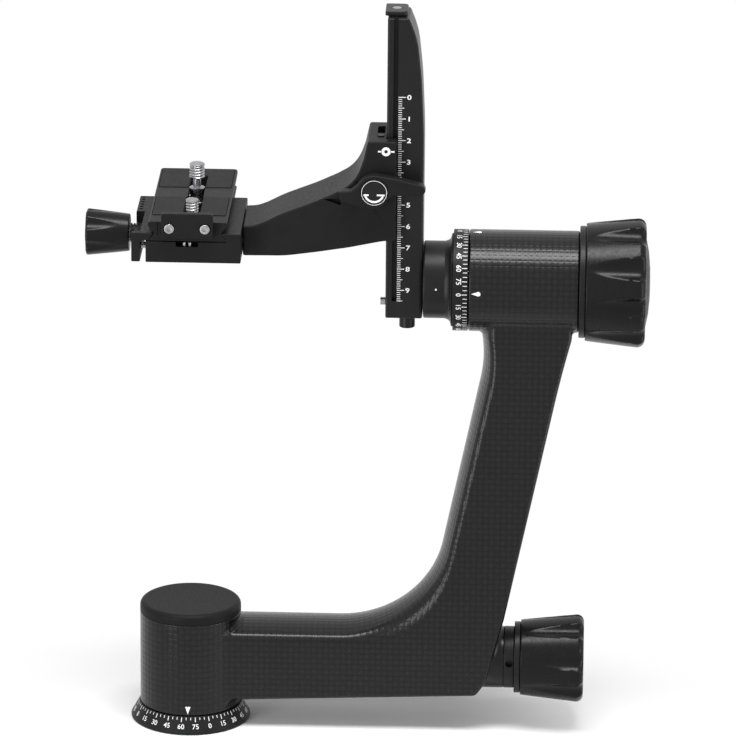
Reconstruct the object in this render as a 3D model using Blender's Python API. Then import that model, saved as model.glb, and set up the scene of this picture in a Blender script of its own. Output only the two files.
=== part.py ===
"""Gimbal head for long lenses: base, L-shaped carbon arm, swing rail and platform with clamp.

Metres, +Z up. The origin is on the pan axis at the underside of the base. X runs from the pan
axis towards the two lock knobs, Y runs from front to back.
"""
import math

import bmesh
import bpy
from mathutils import Matrix, Vector

MM = 0.001

# Driving dimensions
GAP = 0.3 * MM                   # air between pieces that touch on the real head
OVERRUN = 2.0 * MM               # how far a cutter runs past the face that it opens
WELD_REACH = 0.01 * MM
BASE_RADIUS = 27.4 * MM
BASE_HEIGHT = 7.5 * MM
TUBE_RADIUS = 23.2 * MM          # hub tube of the arm
TUBE_WALL = 3.0 * MM
HUB_LENGTH = 43.9 * MM
PAN_LOCK_DROP = 20.5 * MM        # pan lock's axis below the top of the hub tube
BARREL_RADIUS = 23.0 * MM
TILT_Z = 212.5 * MM              # height of the tilt axis
BARREL_X = 126.0 * MM            # left end of the barrel
BARREL_LENGTH = 49.6 * MM
ARM_DEPTH = 32.6 * MM            # front to back
SHAFT_RADIUS = 8.0 * MM          # pan and tilt spindles
BOSS_LENGTH = 10.1 * MM          # of the tilt flange, then its flare and the dial
NECK_FLARE = 3.0 * MM
DIAL_WIDTH = 5.7 * MM
SPIGOT_SHOW = 1.1 * MM           # of the flange's spigot between dial and barrel
RAIL_DEPTH = 22.0 * MM
RAIL_WIDTH = 16.6 * MM
RAIL_LENGTH = 139.3 * MM
CARRIAGE_DEPTH = 33.2 * MM
CARRIAGE_TOP_RISE = 68.6 * MM    # carriage top above the tilt axis
CLAMP_DROP = 54.0 * MM           # clamp's foot below the carriage's top
CLAMP_DEPTH = 58.0 * MM
PLATE_LENGTH = 85.0 * MM
PLATE_WIDTH = 35.2 * MM
PLATE_X = 0.7 * MM               # centre line of the plate
PLATE_FOOT_IN = 0.4 * MM         # the plate's foot inside its widest sides
PLATE_NOTCH_IN = 2.4 * MM        # and its V notch
JAW_GAP = 0.4 * MM
FIXED_JAW = 8.1 * MM
PLATE_Y = 13.4 * MM              # how far back the plate sits in the clamp
SEGMENTS = 24
FINE_SEGMENTS = 40
SMALL_SEGMENTS = 12

# Places that the driving dimensions give
hub_z = BASE_HEIGHT + GAP
hub_top_z = hub_z + HUB_LENGTH
pan_lock_z = hub_top_z - PAN_LOCK_DROP
barrel_end_x = BARREL_X + BARREL_LENGTH
barrel_bottom_z = TILT_Z - BARREL_RADIUS
dial_x = BARREL_X - GAP - SPIGOT_SHOW - DIAL_WIDTH
flange_x = dial_x - GAP - NECK_FLARE - BOSS_LENGTH
rail_end_x = flange_x - GAP
rail_x = rail_end_x - RAIL_WIDTH
carriage_top_z = TILT_Z + CARRIAGE_TOP_RISE
clamp_foot_z = carriage_top_z - CLAMP_DROP
plate_half = PLATE_WIDTH / 2
foot_half = plate_half - PLATE_FOOT_IN
notch_half = plate_half - PLATE_NOTCH_IN
foot_reach = foot_half + JAW_GAP
tip_reach = notch_half + JAW_GAP
clamp_right_x = PLATE_X + tip_reach + FIXED_JAW


for old in list(bpy.data.objects):
    bpy.data.objects.remove(old, do_unlink=True)


def material(name, color, roughness, metallic):
    """A Principled material for one piece."""
    mat = bpy.data.materials.new(name)
    mat.use_nodes = True
    shader = mat.node_tree.nodes["Principled BSDF"]
    shader.inputs["Base Color"].default_value = (*color, 1.0)
    shader.inputs["Roughness"].default_value = roughness
    shader.inputs["Metallic"].default_value = metallic
    return mat


BLACK_ALLOY = ((0.022, 0.022, 0.023), 0.42, 0.6)
CARBON = ((0.018, 0.018, 0.019), 0.38, 0.1)
STEEL = ((0.55, 0.55, 0.56), 0.3, 1.0)
BRASS = ((0.62, 0.47, 0.2), 0.35, 1.0)
RUBBER = ((0.02, 0.02, 0.02), 0.7, 0.0)
ALLOY = ((0.5, 0.5, 0.51), 0.4, 1.0)


def to_object(name, bm, finish=None):
    """Close a bmesh into an object with outward faces and its own material."""
    bmesh.ops.recalc_face_normals(bm, faces=bm.faces)
    mesh = bpy.data.meshes.new(name)
    bm.to_mesh(mesh)
    bm.free()
    mesh.shade_smooth()
    mesh.set_sharp_from_angle(angle=math.radians(35))
    obj = bpy.data.objects.new(name, mesh)
    bpy.context.collection.objects.link(obj)
    if finish:
        mesh.materials.append(material(name, *finish))
    return obj


def turned(name, profile, axis="Z", centre=(0, 0, 0), finish=None, steps=SEGMENTS):
    """A closed profile of (radius, along) points turned about an axis through centre."""
    bm = bmesh.new()
    rings = []
    for radius, along in profile:
        ring = []
        count = 1 if radius == 0 else steps
        for k in range(count):
            a = 2 * math.pi * (k + 0.5) / steps
            u, v = radius * math.cos(a), radius * math.sin(a)
            point = {"Z": (u, v, along), "X": (along, u, v), "Y": (u, along, v)}[axis]
            ring.append(bm.verts.new(Vector(centre) + Vector(point)))
        rings.append(ring)
    for one, two in zip(rings, rings[1:] + rings[:1]):
        if len(one) == 1 and len(two) == 1:
            continue
        for k in range(steps):
            n = (k + 1) % steps
            if len(one) == 1:
                bm.faces.new((one[0], two[n], two[k]))
            elif len(two) == 1:
                bm.faces.new((one[k], one[n], two[0]))
            else:
                bm.faces.new((one[k], one[n], two[n], two[k]))
    return to_object(name, bm, finish)


def rod(name, radius, start, end, axis="Z", centre=(0, 0, 0), finish=None, steps=SMALL_SEGMENTS):
    """A plain solid cylinder from start to end along an axis through centre."""
    profile = [(0, start), (radius, start), (radius, end), (0, end)]
    return turned(name, profile, axis, centre, finish, steps)


def ring(name, outer, inner, start, end, axis="Z", centre=(0, 0, 0), finish=None, steps=SEGMENTS):
    """A plain ring from start to end along an axis through centre."""
    profile = [(inner, start), (outer, start), (outer, end), (inner, end)]
    return turned(name, profile, axis, centre, finish, steps)


def bolt(name, head, shank, start, seat, end, axis, centre, finish=STEEL):
    """A screw whose head runs from start to seat and whose shank runs on to end."""
    profile = [(0, start), (head, start), (head, seat), (shank, seat), (shank, end), (0, end)]
    return turned(name, profile, axis, centre, finish, SMALL_SEGMENTS)


def prism(name, outline, low, high, finish=None, axis="Y"):
    """An outline of (x, z) points carried along Y, or of (x, y) points carried along Z."""
    bm = bmesh.new()
    layers = []
    for level in (low, high):
        if axis == "Y":
            layers.append([bm.verts.new((a, level, b)) for a, b in outline])
        else:
            layers.append([bm.verts.new((a, b, level)) for a, b in outline])
    bm.faces.new(layers[0])
    bm.faces.new(layers[1])
    count = len(outline)
    for k in range(count):
        n = (k + 1) % count
        bm.faces.new((layers[0][k], layers[0][n], layers[1][n], layers[1][k]))
    return to_object(name, bm, finish)


def block(name, low, high, finish=None):
    """A box between two corners."""
    outline = [(low[0], low[2]), (high[0], low[2]), (high[0], high[2]), (low[0], high[2])]
    return prism(name, outline, low[1], high[1], finish)


def combine(obj, tool, operation="DIFFERENCE"):
    """Cut a hidden tool out of obj, or join it on."""
    tool.hide_render = True
    tool.display_type = "WIRE"
    mod = obj.modifiers.new(tool.name, "BOOLEAN")
    mod.operation = operation
    mod.solver = "EXACT"
    mod.object = tool


def soften(obj, width, segments=1):
    """Break the sharp edges of obj."""
    mod = obj.modifiers.new("edge", "BEVEL")
    mod.width = width
    mod.segments = segments
    mod.limit_method = "ANGLE"
    mod.angle_limit = math.radians(40)
    mod.use_clamp_overlap = True


def weld(obj):
    """Close the hairline seams that a chain of cuts leaves."""
    mod = obj.modifiers.new("seams", "WELD")
    mod.merge_threshold = WELD_REACH


def carrier(name, place, parent=None):
    """An empty on a joint's axis, which carries the pieces of one moving body."""
    empty = bpy.data.objects.new(name, None)
    bpy.context.collection.objects.link(empty)
    empty["place"] = place
    base = Vector(parent["place"]) if parent else Vector()
    empty.parent = parent
    empty.location = Vector(place) - base
    return empty


def attach(empty, *pieces):
    """Give each piece the carrier's place as its origin and hang it there."""
    for piece in pieces:
        piece.data.transform(Matrix.Translation(-Vector(empty["place"])))
        piece.parent = empty


# Base: a turned dial plate that the pan spindle is screwed to from below. The tripod stud goes
# into the spindle.
DIAL_RADIUS = 23.6 * MM          # where the dial cone meets the hub
BASE_RIM = 0.8 * MM
SPIGOT_RADIUS = 8.0 * MM
FLANGE_RADIUS = 15.0 * MM
FLANGE_THICK = 3.0 * MM
FLANGE_SINK = 0.3 * MM           # flange top below the dial's top face
STUD_RADIUS = 4.76 * MM          # 3/8 inch tripod stud
STUD_DEPTH = 13.0 * MM
SPIGOT_LIFT = 0.5 * MM
M3_SHANK = 1.5 * MM
M3_HEAD = 2.5 * MM
M3_HEAD_HEIGHT = 1.8 * MM
BASE_SCREW_BITE = 2.0 * MM
RACE_STEP = 2.0 * MM             # shoulder that carries a bearing's inner edge
RACE_WIDTH = 2.0 * MM
BEARING_WIDTH = 7.0 * MM
BEARING_RADIUS = 14.2 * MM
SHOULDER = 2.0 * MM              # step inside a sleeve that parts two bearings
NUT_WIDTH = 4.0 * MM
NUT_RADIUS = 9.5 * MM
TIP_RADIUS = 5.0 * MM            # threaded end of the pan spindle

flange_top_z = BASE_HEIGHT - FLANGE_SINK
flange_z = flange_top_z - FLANGE_THICK
race_z = flange_top_z + RACE_STEP
lower_bearing_z = race_z + GAP
upper_bearing_z = hub_top_z - BEARING_WIDTH - NUT_WIDTH - RACE_WIDTH
shaft_top_z = upper_bearing_z + BEARING_WIDTH
nut_z = shaft_top_z + GAP
spindle_top_z = nut_z + NUT_WIDTH

base_carrier = carrier("base", (0, 0, 0))
floor_z = flange_z - GAP
bore = SPIGOT_RADIUS + GAP
base_plate = turned("base_plate", [
    (bore, 0), (BASE_RADIUS, 0), (BASE_RADIUS, BASE_RIM), (DIAL_RADIUS, BASE_HEIGHT),
    (FLANGE_RADIUS + GAP, BASE_HEIGHT), (FLANGE_RADIUS + GAP, floor_z), (bore, floor_z)],
    finish=BLACK_ALLOY, steps=FINE_SEGMENTS)
pan_spindle = turned("pan_spindle", [
    (0, STUD_DEPTH), (STUD_RADIUS, STUD_DEPTH), (STUD_RADIUS, SPIGOT_LIFT),
    (SPIGOT_RADIUS, SPIGOT_LIFT), (SPIGOT_RADIUS, flange_z), (FLANGE_RADIUS, flange_z),
    (FLANGE_RADIUS, flange_top_z), (SHAFT_RADIUS + RACE_WIDTH, flange_top_z),
    (SHAFT_RADIUS + RACE_WIDTH, race_z), (SHAFT_RADIUS, race_z), (SHAFT_RADIUS, shaft_top_z),
    (TIP_RADIUS, shaft_top_z), (TIP_RADIUS, spindle_top_z), (0, spindle_top_z)], finish=STEEL)
base_screws = []
for number, side in enumerate((-1, 1), 1):
    centre = (0, side * (FLANGE_RADIUS - M3_HEAD - GAP), 0)
    seat = GAP + M3_HEAD_HEIGHT
    tip = flange_z + BASE_SCREW_BITE
    base_screws.append(bolt(f"base_screw_{number}", M3_HEAD, M3_SHANK, GAP, seat, tip, "Z", centre))
    hole = bolt(f"cut_base_screw_{number}", M3_HEAD + GAP, M3_SHANK + GAP, -OVERRUN, seat + GAP,
                tip + GAP, "Z", centre, None)
    combine(base_plate, hole)
    combine(pan_spindle, hole)
hexagon = [(NUT_RADIUS * math.cos(math.radians(a)), NUT_RADIUS * math.sin(math.radians(a)))
           for a in range(0, 360, 60)]
pan_nut = prism("pan_nut", hexagon, nut_z, spindle_top_z, STEEL, "Z")
combine(pan_nut, rod("cut_nut", TIP_RADIUS + GAP, nut_z - OVERRUN, spindle_top_z + OVERRUN,
                     steps=SEGMENTS))
attach(base_carrier, base_plate, pan_spindle, pan_nut, *base_screws)


# Arm: one hollow moulded carbon shell. The lower arm leaves the hub tube, turns through a wide
# inner corner and leans out as the post to the barrel.
ARM_TOP_DROP = 3.0 * MM          # top of the lower arm below the hub's top
ARM_FOOT_RISE = 4.4 * MM         # its underside above the hub's foot, at the pan axis
HEEL_X = 131.7 * MM
HEEL_RISE = 5.0 * MM             # of the underside, from the pan axis to the heel
HEEL_CUT_WIDTH = 4.5 * MM
HEEL_CUT_HEIGHT = 6.3 * MM
KNEE_OUT = 12.6 * MM             # right side of the post, from the heel
KNEE_RISE = 42.8 * MM            # above the underside at the pan axis
LEAN = math.radians(11.6)        # of the post
CORNER_RADIUS = 48.0 * MM
CORNER_X = 68.5 * MM             # where the inner corner starts
INNER_ROUND = 5.0 * MM
OUTER_ROUND = 2.0 * MM
FLARE_HEIGHT = 25.5 * MM         # the post widens over this height below the barrel
POST_LEFT_IN = 2.4 * MM          # post's sides inside the barrel's ends
POST_RIGHT_IN = 0.7 * MM
FLARE_DROP = 7.0 * MM            # inner side of a slanted section above its outer side
POST_END_SINK = 12.0 * MM        # how far the post runs on into the barrel
CORNER_STEPS = 7
FLARE_STEPS = 3
ROUND_STEPS = 2
NECK_RADIUS = 14.2 * MM
NECK_REACH = 12.5 * MM           # past the heel

arm_top_z = hub_top_z - ARM_TOP_DROP
arm_foot_z = hub_z + ARM_FOOT_RISE
heel_z = arm_foot_z + HEEL_RISE
knee_x = HEEL_X + KNEE_OUT
knee_z = arm_foot_z + KNEE_RISE
neck_x = HEEL_X - TUBE_WALL
neck_end_x = HEEL_X + NECK_REACH
corner_z = arm_top_z + CORNER_RADIUS
lean_slope = math.tan(LEAN)


def left_x(z):
    """Left side of the post at a height."""
    tangent_x = CORNER_X + CORNER_RADIUS * math.cos(LEAN)
    tangent_z = corner_z - CORNER_RADIUS * math.sin(LEAN)
    return tangent_x + (z - tangent_z) * lean_slope


def right_x(z):
    """Right side of the post at a height."""
    return knee_x + (z - knee_z) * lean_slope


heel = [(HEEL_X, heel_z), (HEEL_X + HEEL_CUT_WIDTH, heel_z + HEEL_CUT_HEIGHT), (knee_x, knee_z)]


def cast(angle):
    """Where a ray from the inner corner's centre leaves the outer outline."""
    outer = [(0, arm_foot_z), *heel, (right_x(barrel_bottom_z), barrel_bottom_z)]
    dx, dz = math.cos(angle), math.sin(angle)
    for (ax, az), (bx, bz) in zip(outer, outer[1:]):
        ex, ez = bx - ax, bz - az
        det = ex * dz - ez * dx
        share = ((CORNER_X - ax) * dz - (corner_z - az) * dx) / det if det else -1
        reach = (ax + share * ex - CORNER_X) * dx + (az + share * ez - corner_z) * dz
        if -1e-9 <= share <= 1 + 1e-9 and reach > 0:
            return ax + share * ex, az + share * ez
    return outer[-1]


def stations():
    """Pairs of inner and outer points along the arm, from the pan axis to the barrel."""
    pairs = [((0, arm_top_z), (0, arm_foot_z))]
    start, end = -math.pi / 2, -LEAN
    angles = [start + (end - start) * k / CORNER_STEPS for k in range(CORNER_STEPS + 1)]
    angles += [math.atan2(z - corner_z, x - CORNER_X) for x, z in heel]
    for angle in sorted(angles):
        inner = (CORNER_X + CORNER_RADIUS * math.cos(angle),
                 corner_z + CORNER_RADIUS * math.sin(angle))
        pairs.append((inner, cast(angle)))
    left_flare = left_x(barrel_bottom_z) - BARREL_X - POST_LEFT_IN
    right_flare = barrel_end_x - POST_RIGHT_IN - right_x(barrel_bottom_z)
    for k in range(FLARE_STEPS + 1):
        share = k / FLARE_STEPS
        z = barrel_bottom_z - FLARE_HEIGHT * (1 - share)
        outer_z = z - FLARE_DROP * (1 - share)
        pairs.append(((left_x(z) - left_flare * share ** 2, z),
                      (right_x(outer_z) + right_flare * share ** 2, outer_z)))
    (left, z), (right, _) = pairs[-1]
    pairs.append(((left, z + POST_END_SINK), (right, z + POST_END_SINK)))
    return pairs


def arm_shell(name, inset, finish=None):
    """Rounded rectangles, spanned between the stations and set in by a wall, skinned over."""
    bm = bmesh.new()
    rings = []
    half = ARM_DEPTH / 2 - inset
    for (ix, iz), (ox, oz) in stations():
        across = Vector((ox - ix, 0, oz - iz))
        width = across.length
        across.normalize()
        start = Vector((ix, 0, iz)) + across * inset
        width -= 2 * inset
        inner_round = max(INNER_ROUND - inset, OUTER_ROUND)
        turns = [(inner_round, half - inner_round, inner_round, 90),
                 (inner_round, inner_round - half, inner_round, 180),
                 (width - OUTER_ROUND, OUTER_ROUND - half, OUTER_ROUND, 270),
                 (width - OUTER_ROUND, half - OUTER_ROUND, OUTER_ROUND, 0)]
        ring_verts = []
        for along, depth, radius, first in turns:
            for k in range(ROUND_STEPS + 1):
                a = math.radians(first + 90 * k / ROUND_STEPS)
                offset = along + radius * math.cos(a)
                point = start + across * offset + Vector((0, depth + radius * math.sin(a), 0))
                ring_verts.append(bm.verts.new(point))
        rings.append(ring_verts)
    count = len(rings[0])
    for one, two in zip(rings, rings[1:]):
        for k in range(count):
            n = (k + 1) % count
            bm.faces.new((one[k], one[n], two[n], two[k]))
    bm.faces.new(rings[0])
    bm.faces.new(rings[-1])
    return to_object(name, bm, finish)


tilt_centre = (0, 0, TILT_Z)
knob_centre = (0, 0, pan_lock_z)
hub_bore = TUBE_RADIUS - TUBE_WALL
barrel_bore = BARREL_RADIUS - TUBE_WALL
ROD_RADIUS = 3.0 * MM
BUSH_RADIUS = 5.0 * MM
arm_body = arm_shell("arm_body", 0, CARBON)
combine(arm_body, rod("add_hub", TUBE_RADIUS, hub_z, hub_top_z, steps=FINE_SEGMENTS), "UNION")
combine(arm_body, rod("add_barrel", BARREL_RADIUS, BARREL_X, barrel_end_x, "X", tilt_centre,
                      steps=FINE_SEGMENTS), "UNION")
combine(arm_body, rod("add_neck", NECK_RADIUS, neck_x, neck_end_x, "X", knob_centre,
                      steps=SEGMENTS), "UNION")
combine(arm_body, rod("cut_rod", BUSH_RADIUS + GAP, neck_x, neck_end_x + OVERRUN, "X",
                      knob_centre))
combine(arm_body, arm_shell("cut_hollow", TUBE_WALL))
combine(arm_body, rod("cut_hub", hub_bore, hub_z - OVERRUN, hub_top_z + OVERRUN,
                      steps=SEGMENTS))
combine(arm_body, rod("cut_barrel", barrel_bore, BARREL_X - OVERRUN, barrel_end_x + OVERRUN, "X",
                      tilt_centre, steps=SEGMENTS))
weld(arm_body)

# Hub: an alloy sleeve bonded in the tube seats two bearings on the spindle, and a turned cap
# closes the top.
SLEEVE_FOOT = 0.6 * MM
CAP_THICK = 4.5 * MM
CAP_BEVEL = 1.6 * MM
CAP_SPIGOT = 2.6 * MM
CAP_SKIRT = 2.0 * MM
CAP_CROWN = 2.2 * MM
SHOE_RADIUS = 4.4 * MM

sleeve_radius = hub_bore - GAP
seat_radius = BEARING_RADIUS + GAP
step_low = lower_bearing_z + BEARING_WIDTH + GAP
step_high = upper_bearing_z - GAP
hub_sleeve = turned("hub_sleeve", [
    (seat_radius, hub_z + SLEEVE_FOOT), (sleeve_radius, hub_z + SLEEVE_FOOT),
    (sleeve_radius, hub_top_z - SLEEVE_FOOT), (seat_radius, hub_top_z - SLEEVE_FOOT),
    (seat_radius, step_high), (seat_radius - SHOULDER, step_high),
    (seat_radius - SHOULDER, step_low), (seat_radius, step_low)], finish=ALLOY)
combine(hub_sleeve, rod("cut_shoe", SHOE_RADIUS + GAP, 0, TUBE_RADIUS, "X", knob_centre))
pan_bearing_lower = ring("pan_bearing_lower", BEARING_RADIUS, SHAFT_RADIUS + GAP, lower_bearing_z,
                         lower_bearing_z + BEARING_WIDTH, finish=STEEL)
pan_bearing_upper = ring("pan_bearing_upper", BEARING_RADIUS, SHAFT_RADIUS + GAP, upper_bearing_z,
                         upper_bearing_z + BEARING_WIDTH, finish=STEEL)
cap_z = hub_top_z + GAP
cap_top_z = cap_z + CAP_THICK
skirt_radius = seat_radius - GAP
hub_cap = turned("hub_cap", [
    (0, cap_top_z), (TUBE_RADIUS - CAP_BEVEL, cap_top_z), (TUBE_RADIUS, cap_top_z - CAP_BEVEL),
    (TUBE_RADIUS, cap_z), (skirt_radius, cap_z), (skirt_radius, cap_z - CAP_SPIGOT),
    (skirt_radius - CAP_SKIRT, cap_z - CAP_SPIGOT), (skirt_radius - CAP_SKIRT, cap_top_z - CAP_CROWN),
    (0, cap_top_z - CAP_CROWN)], finish=BLACK_ALLOY, steps=FINE_SEGMENTS)


# Pan lock: the knob drives a rod through the hollow lower arm, and the brass shoe on its end
# bears on the spindle.
NECK_WIDTH = 4.5 * MM
COLLAR_WIDTH = 2.3 * MM
PAN_COLLAR_RADIUS = 16.4 * MM
PAN_KNOB_SMALL = 17.3 * MM
PAN_KNOB_BIG = 20.6 * MM
PAN_KNOB_LENGTH = 29.0 * MM
PAN_KNOB_SOCKET = 12.0 * MM
PAN_KNOB_LOBES = (8, math.radians(172))
COLLAR_BORE = 8.0 * MM
SHOE_LENGTH = 10.0 * MM

shoe_x = SHAFT_RADIUS + GAP
pan_lock_shoe = rod("pan_lock_shoe", SHOE_RADIUS, shoe_x, shoe_x + SHOE_LENGTH, "X", knob_centre,
                    BRASS)
bush_x = neck_end_x + GAP
pan_neck_bush = ring("pan_neck_bush", NECK_RADIUS, BUSH_RADIUS + GAP, bush_x, bush_x + NECK_WIDTH,
                     "X", knob_centre, BLACK_ALLOY)
pan_collar_x = bush_x + NECK_WIDTH + GAP
pan_knob_x = pan_collar_x + COLLAR_WIDTH + GAP
pan_lock_rod = turned("pan_lock_rod", [
    (0, shoe_x + SHOE_LENGTH + GAP), (ROD_RADIUS, shoe_x + SHOE_LENGTH + GAP),
    (ROD_RADIUS, neck_x), (BUSH_RADIUS, neck_x), (BUSH_RADIUS, pan_collar_x),
    (ROD_RADIUS, pan_collar_x), (ROD_RADIUS, pan_knob_x + PAN_KNOB_SOCKET),
    (0, pan_knob_x + PAN_KNOB_SOCKET)], "X", knob_centre, STEEL, SMALL_SEGMENTS)
pan_knob_collar = ring("pan_knob_collar", PAN_COLLAR_RADIUS, COLLAR_BORE + GAP, pan_collar_x,
                       pan_collar_x + COLLAR_WIDTH, "X", knob_centre, BLACK_ALLOY)


LOBE_STEPS = 6                   # facets from one finger scallop to the next
SCALLOP_START_SHARE = 0.18       # of the knob's length
SCALLOP_DEPTH_SHARE = 0.11       # of the big radius
SCALLOP_WIDTH_SHARE = 0.26       # half width, of one lobe's pitch
RIM_SHARE = 0.12                 # of the length, where the end rounds over


def lobed_knob(name, small, big, length, start, centre, lobes, socket, socket_depth, hub, dish,
               finish):
    """A cone with spoon-shaped scallops that widen towards its big end, about X.

    A negative length points the big end towards -X. Lobes says how many scallops there are and
    at what angle the first one lies. The socket is a bore in the small end, the hub a short
    spigot round it, and the dish a recess (radius, depth) in the big end.
    """
    bm = bmesh.new()
    sign = 1 if length > 0 else -1
    full = abs(length)
    count, first = lobes
    steps = count * LOBE_STEPS
    shares = (0, SCALLOP_START_SHARE, 0.45, 0.7, 1 - RIM_SHARE, 1)
    rows = []

    def add_row(radius, along, scallop=0.0):
        row = []
        for k in range(steps if radius else 1):
            a = 2 * math.pi * k / steps + first
            phase = (k / LOBE_STEPS) % 1
            off = min(phase, 1 - phase)
            width = SCALLOP_WIDTH_SHARE * scallop
            dip = (1 - (off / width) ** 2) if width and off < width else 0
            r = radius - SCALLOP_DEPTH_SHARE * big * scallop * dip
            x, y, z = centre
            row.append(bm.verts.new((x + start + sign * along, y + r * math.cos(a),
                                     z + r * math.sin(a))))
        rows.append(row)

    hub_radius, hub_length = hub
    add_row(0, socket_depth)
    add_row(socket, socket_depth)
    add_row(socket, -hub_length)
    add_row(hub_radius, -hub_length)
    add_row(hub_radius, 0)
    for share in shares:
        span = min(share / (1 - RIM_SHARE), 1)
        radius = small + (big - small) * span
        if share == 1:
            radius -= RIM_SHARE * full
        grow = max(share - SCALLOP_START_SHARE, 0) / (1 - SCALLOP_START_SHARE)
        add_row(radius, share * full, grow)
    dish_radius, dish_depth = dish
    if dish_radius:
        add_row(dish_radius, full)
        add_row(dish_radius, full - dish_depth)
        add_row(0, full - dish_depth)
    else:
        add_row(0, full)
    for one, two in zip(rows, rows[1:]):
        for k in range(steps):
            n = (k + 1) % steps
            if len(one) == 1:
                bm.faces.new((one[0], two[n], two[k]))
            elif len(two) == 1:
                bm.faces.new((one[k], one[n], two[0]))
            else:
                bm.faces.new((one[k], one[n], two[n], two[k]))
    return to_object(name, bm, finish)


pan_knob = lobed_knob("pan_knob", PAN_KNOB_SMALL, PAN_KNOB_BIG, PAN_KNOB_LENGTH, pan_knob_x,
                      knob_centre, PAN_KNOB_LOBES, ROD_RADIUS + GAP, PAN_KNOB_SOCKET + GAP,
                      (COLLAR_BORE, COLLAR_WIDTH), (0, 0), RUBBER)


# Tilt barrel: the same sleeve and bearings on their side. The flange carries the rail and the
# tilt dial on the left, and the big knob draws the spindle up on the right.
BOSS_RADIUS = 17.5 * MM
TILT_DIAL_RADIUS = 22.9 * MM
DIAL_THICK = 2.4 * MM
SPINDLE_HEAD_RADIUS = 9.5 * MM
SPINDLE_HEAD = 3.0 * MM
HEAD_SINK = 0.3 * MM
SLEEVE_END = 0.6 * MM
LEFT_BEARING_IN = 2.0 * MM
RIGHT_BEARING_IN = 26.0 * MM
DISC_WIDTH = 5.0 * MM
THREAD_RADIUS = 6.0 * MM
TILT_COLLAR_RADIUS = 25.3 * MM
CORE_RADIUS = 11.0 * MM
CORE_REACH = 6.0 * MM            # of the knob nut into the knob
TILT_KNOB_SMALL = 26.6 * MM
TILT_KNOB_BIG = 29.6 * MM
TILT_KNOB_LENGTH = 27.0 * MM
TILT_SOCKET = 20.0 * MM
TILT_KNOB_LOBES = (10, math.radians(153))
END_CAP_RADIUS = 21.0 * MM
END_CAP_SINK = 3.0 * MM
END_CAP_CROWN = 2.0 * MM

boss_end_x = flange_x + BOSS_LENGTH
flare_end_x = boss_end_x + NECK_FLARE
spigot_radius = TILT_DIAL_RADIUS - DIAL_THICK - GAP
spigot_end_x = BARREL_X - GAP
head_x = flange_x + HEAD_SINK
head_end_x = head_x + SPINDLE_HEAD
FLARE_SHARES = ((0.35, 0.06), (0.7, 0.32), (1.0, 1.0))    # along and out, of the concave flare
flare_rise = TILT_DIAL_RADIUS - BOSS_RADIUS
flare_points = [(BOSS_RADIUS + flare_rise * out, boss_end_x + NECK_FLARE * along)
                for along, out in FLARE_SHARES]
tilt_flange = turned("tilt_flange", [
    (SPINDLE_HEAD_RADIUS + GAP, flange_x), (BOSS_RADIUS, flange_x), (BOSS_RADIUS, boss_end_x),
    *flare_points, (spigot_radius, flare_end_x), (spigot_radius, spigot_end_x),
    (SHAFT_RADIUS + GAP, spigot_end_x), (SHAFT_RADIUS + GAP, head_end_x + GAP),
    (SPINDLE_HEAD_RADIUS + GAP, head_end_x + GAP)], "X", tilt_centre, BLACK_ALLOY)
tilt_dial = ring("tilt_dial", TILT_DIAL_RADIUS, TILT_DIAL_RADIUS - DIAL_THICK, dial_x,
                 dial_x + DIAL_WIDTH, "X", tilt_centre, BLACK_ALLOY, FINE_SEGMENTS)

sleeve_x = BARREL_X + SLEEVE_END
sleeve_end_x = barrel_end_x - SLEEVE_END
left_bearing_x = BARREL_X + LEFT_BEARING_IN
right_bearing_x = BARREL_X + RIGHT_BEARING_IN
barrel_sleeve = turned("barrel_sleeve", [
    (seat_radius, sleeve_x), (barrel_bore - GAP, sleeve_x), (barrel_bore - GAP, sleeve_end_x),
    (seat_radius, sleeve_end_x), (seat_radius, right_bearing_x - GAP),
    (seat_radius - SHOULDER, right_bearing_x - GAP),
    (seat_radius - SHOULDER, left_bearing_x + BEARING_WIDTH + GAP),
    (seat_radius, left_bearing_x + BEARING_WIDTH + GAP)], "X", tilt_centre, ALLOY)
tilt_bearing_left = ring("tilt_bearing_left", BEARING_RADIUS, SHAFT_RADIUS + GAP, left_bearing_x,
                         left_bearing_x + BEARING_WIDTH, "X", tilt_centre, STEEL)
tilt_bearing_right = ring("tilt_bearing_right", BEARING_RADIUS, SHAFT_RADIUS + GAP,
                          right_bearing_x, right_bearing_x + BEARING_WIDTH, "X", tilt_centre,
                          STEEL)
disc_x = right_bearing_x + BEARING_WIDTH + GAP
disc_end_x = disc_x + DISC_WIDTH
tilt_friction_disc = ring("tilt_friction_disc", BEARING_RADIUS, SHAFT_RADIUS + GAP, disc_x,
                          disc_end_x, "X", tilt_centre, BRASS)
core_x = disc_end_x + GAP
collar_x = barrel_end_x + GAP
tilt_knob_x = collar_x + COLLAR_WIDTH + GAP
thread_end_x = tilt_knob_x + TILT_SOCKET - END_CAP_SINK
tilt_spindle = turned("tilt_spindle", [
    (0, head_x), (SPINDLE_HEAD_RADIUS, head_x), (SPINDLE_HEAD_RADIUS, head_end_x),
    (SHAFT_RADIUS, head_end_x), (SHAFT_RADIUS, disc_end_x), (THREAD_RADIUS, disc_end_x),
    (THREAD_RADIUS, thread_end_x), (0, thread_end_x)], "X", tilt_centre, STEEL)
tilt_knob_nut = ring("tilt_knob_nut", CORE_RADIUS, THREAD_RADIUS + GAP, core_x,
                     tilt_knob_x + CORE_REACH, "X", tilt_centre, BRASS)
tilt_knob_collar = ring("tilt_knob_collar", TILT_COLLAR_RADIUS, CORE_RADIUS + GAP, collar_x,
                        collar_x + COLLAR_WIDTH, "X", tilt_centre, BLACK_ALLOY, FINE_SEGMENTS)
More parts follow.
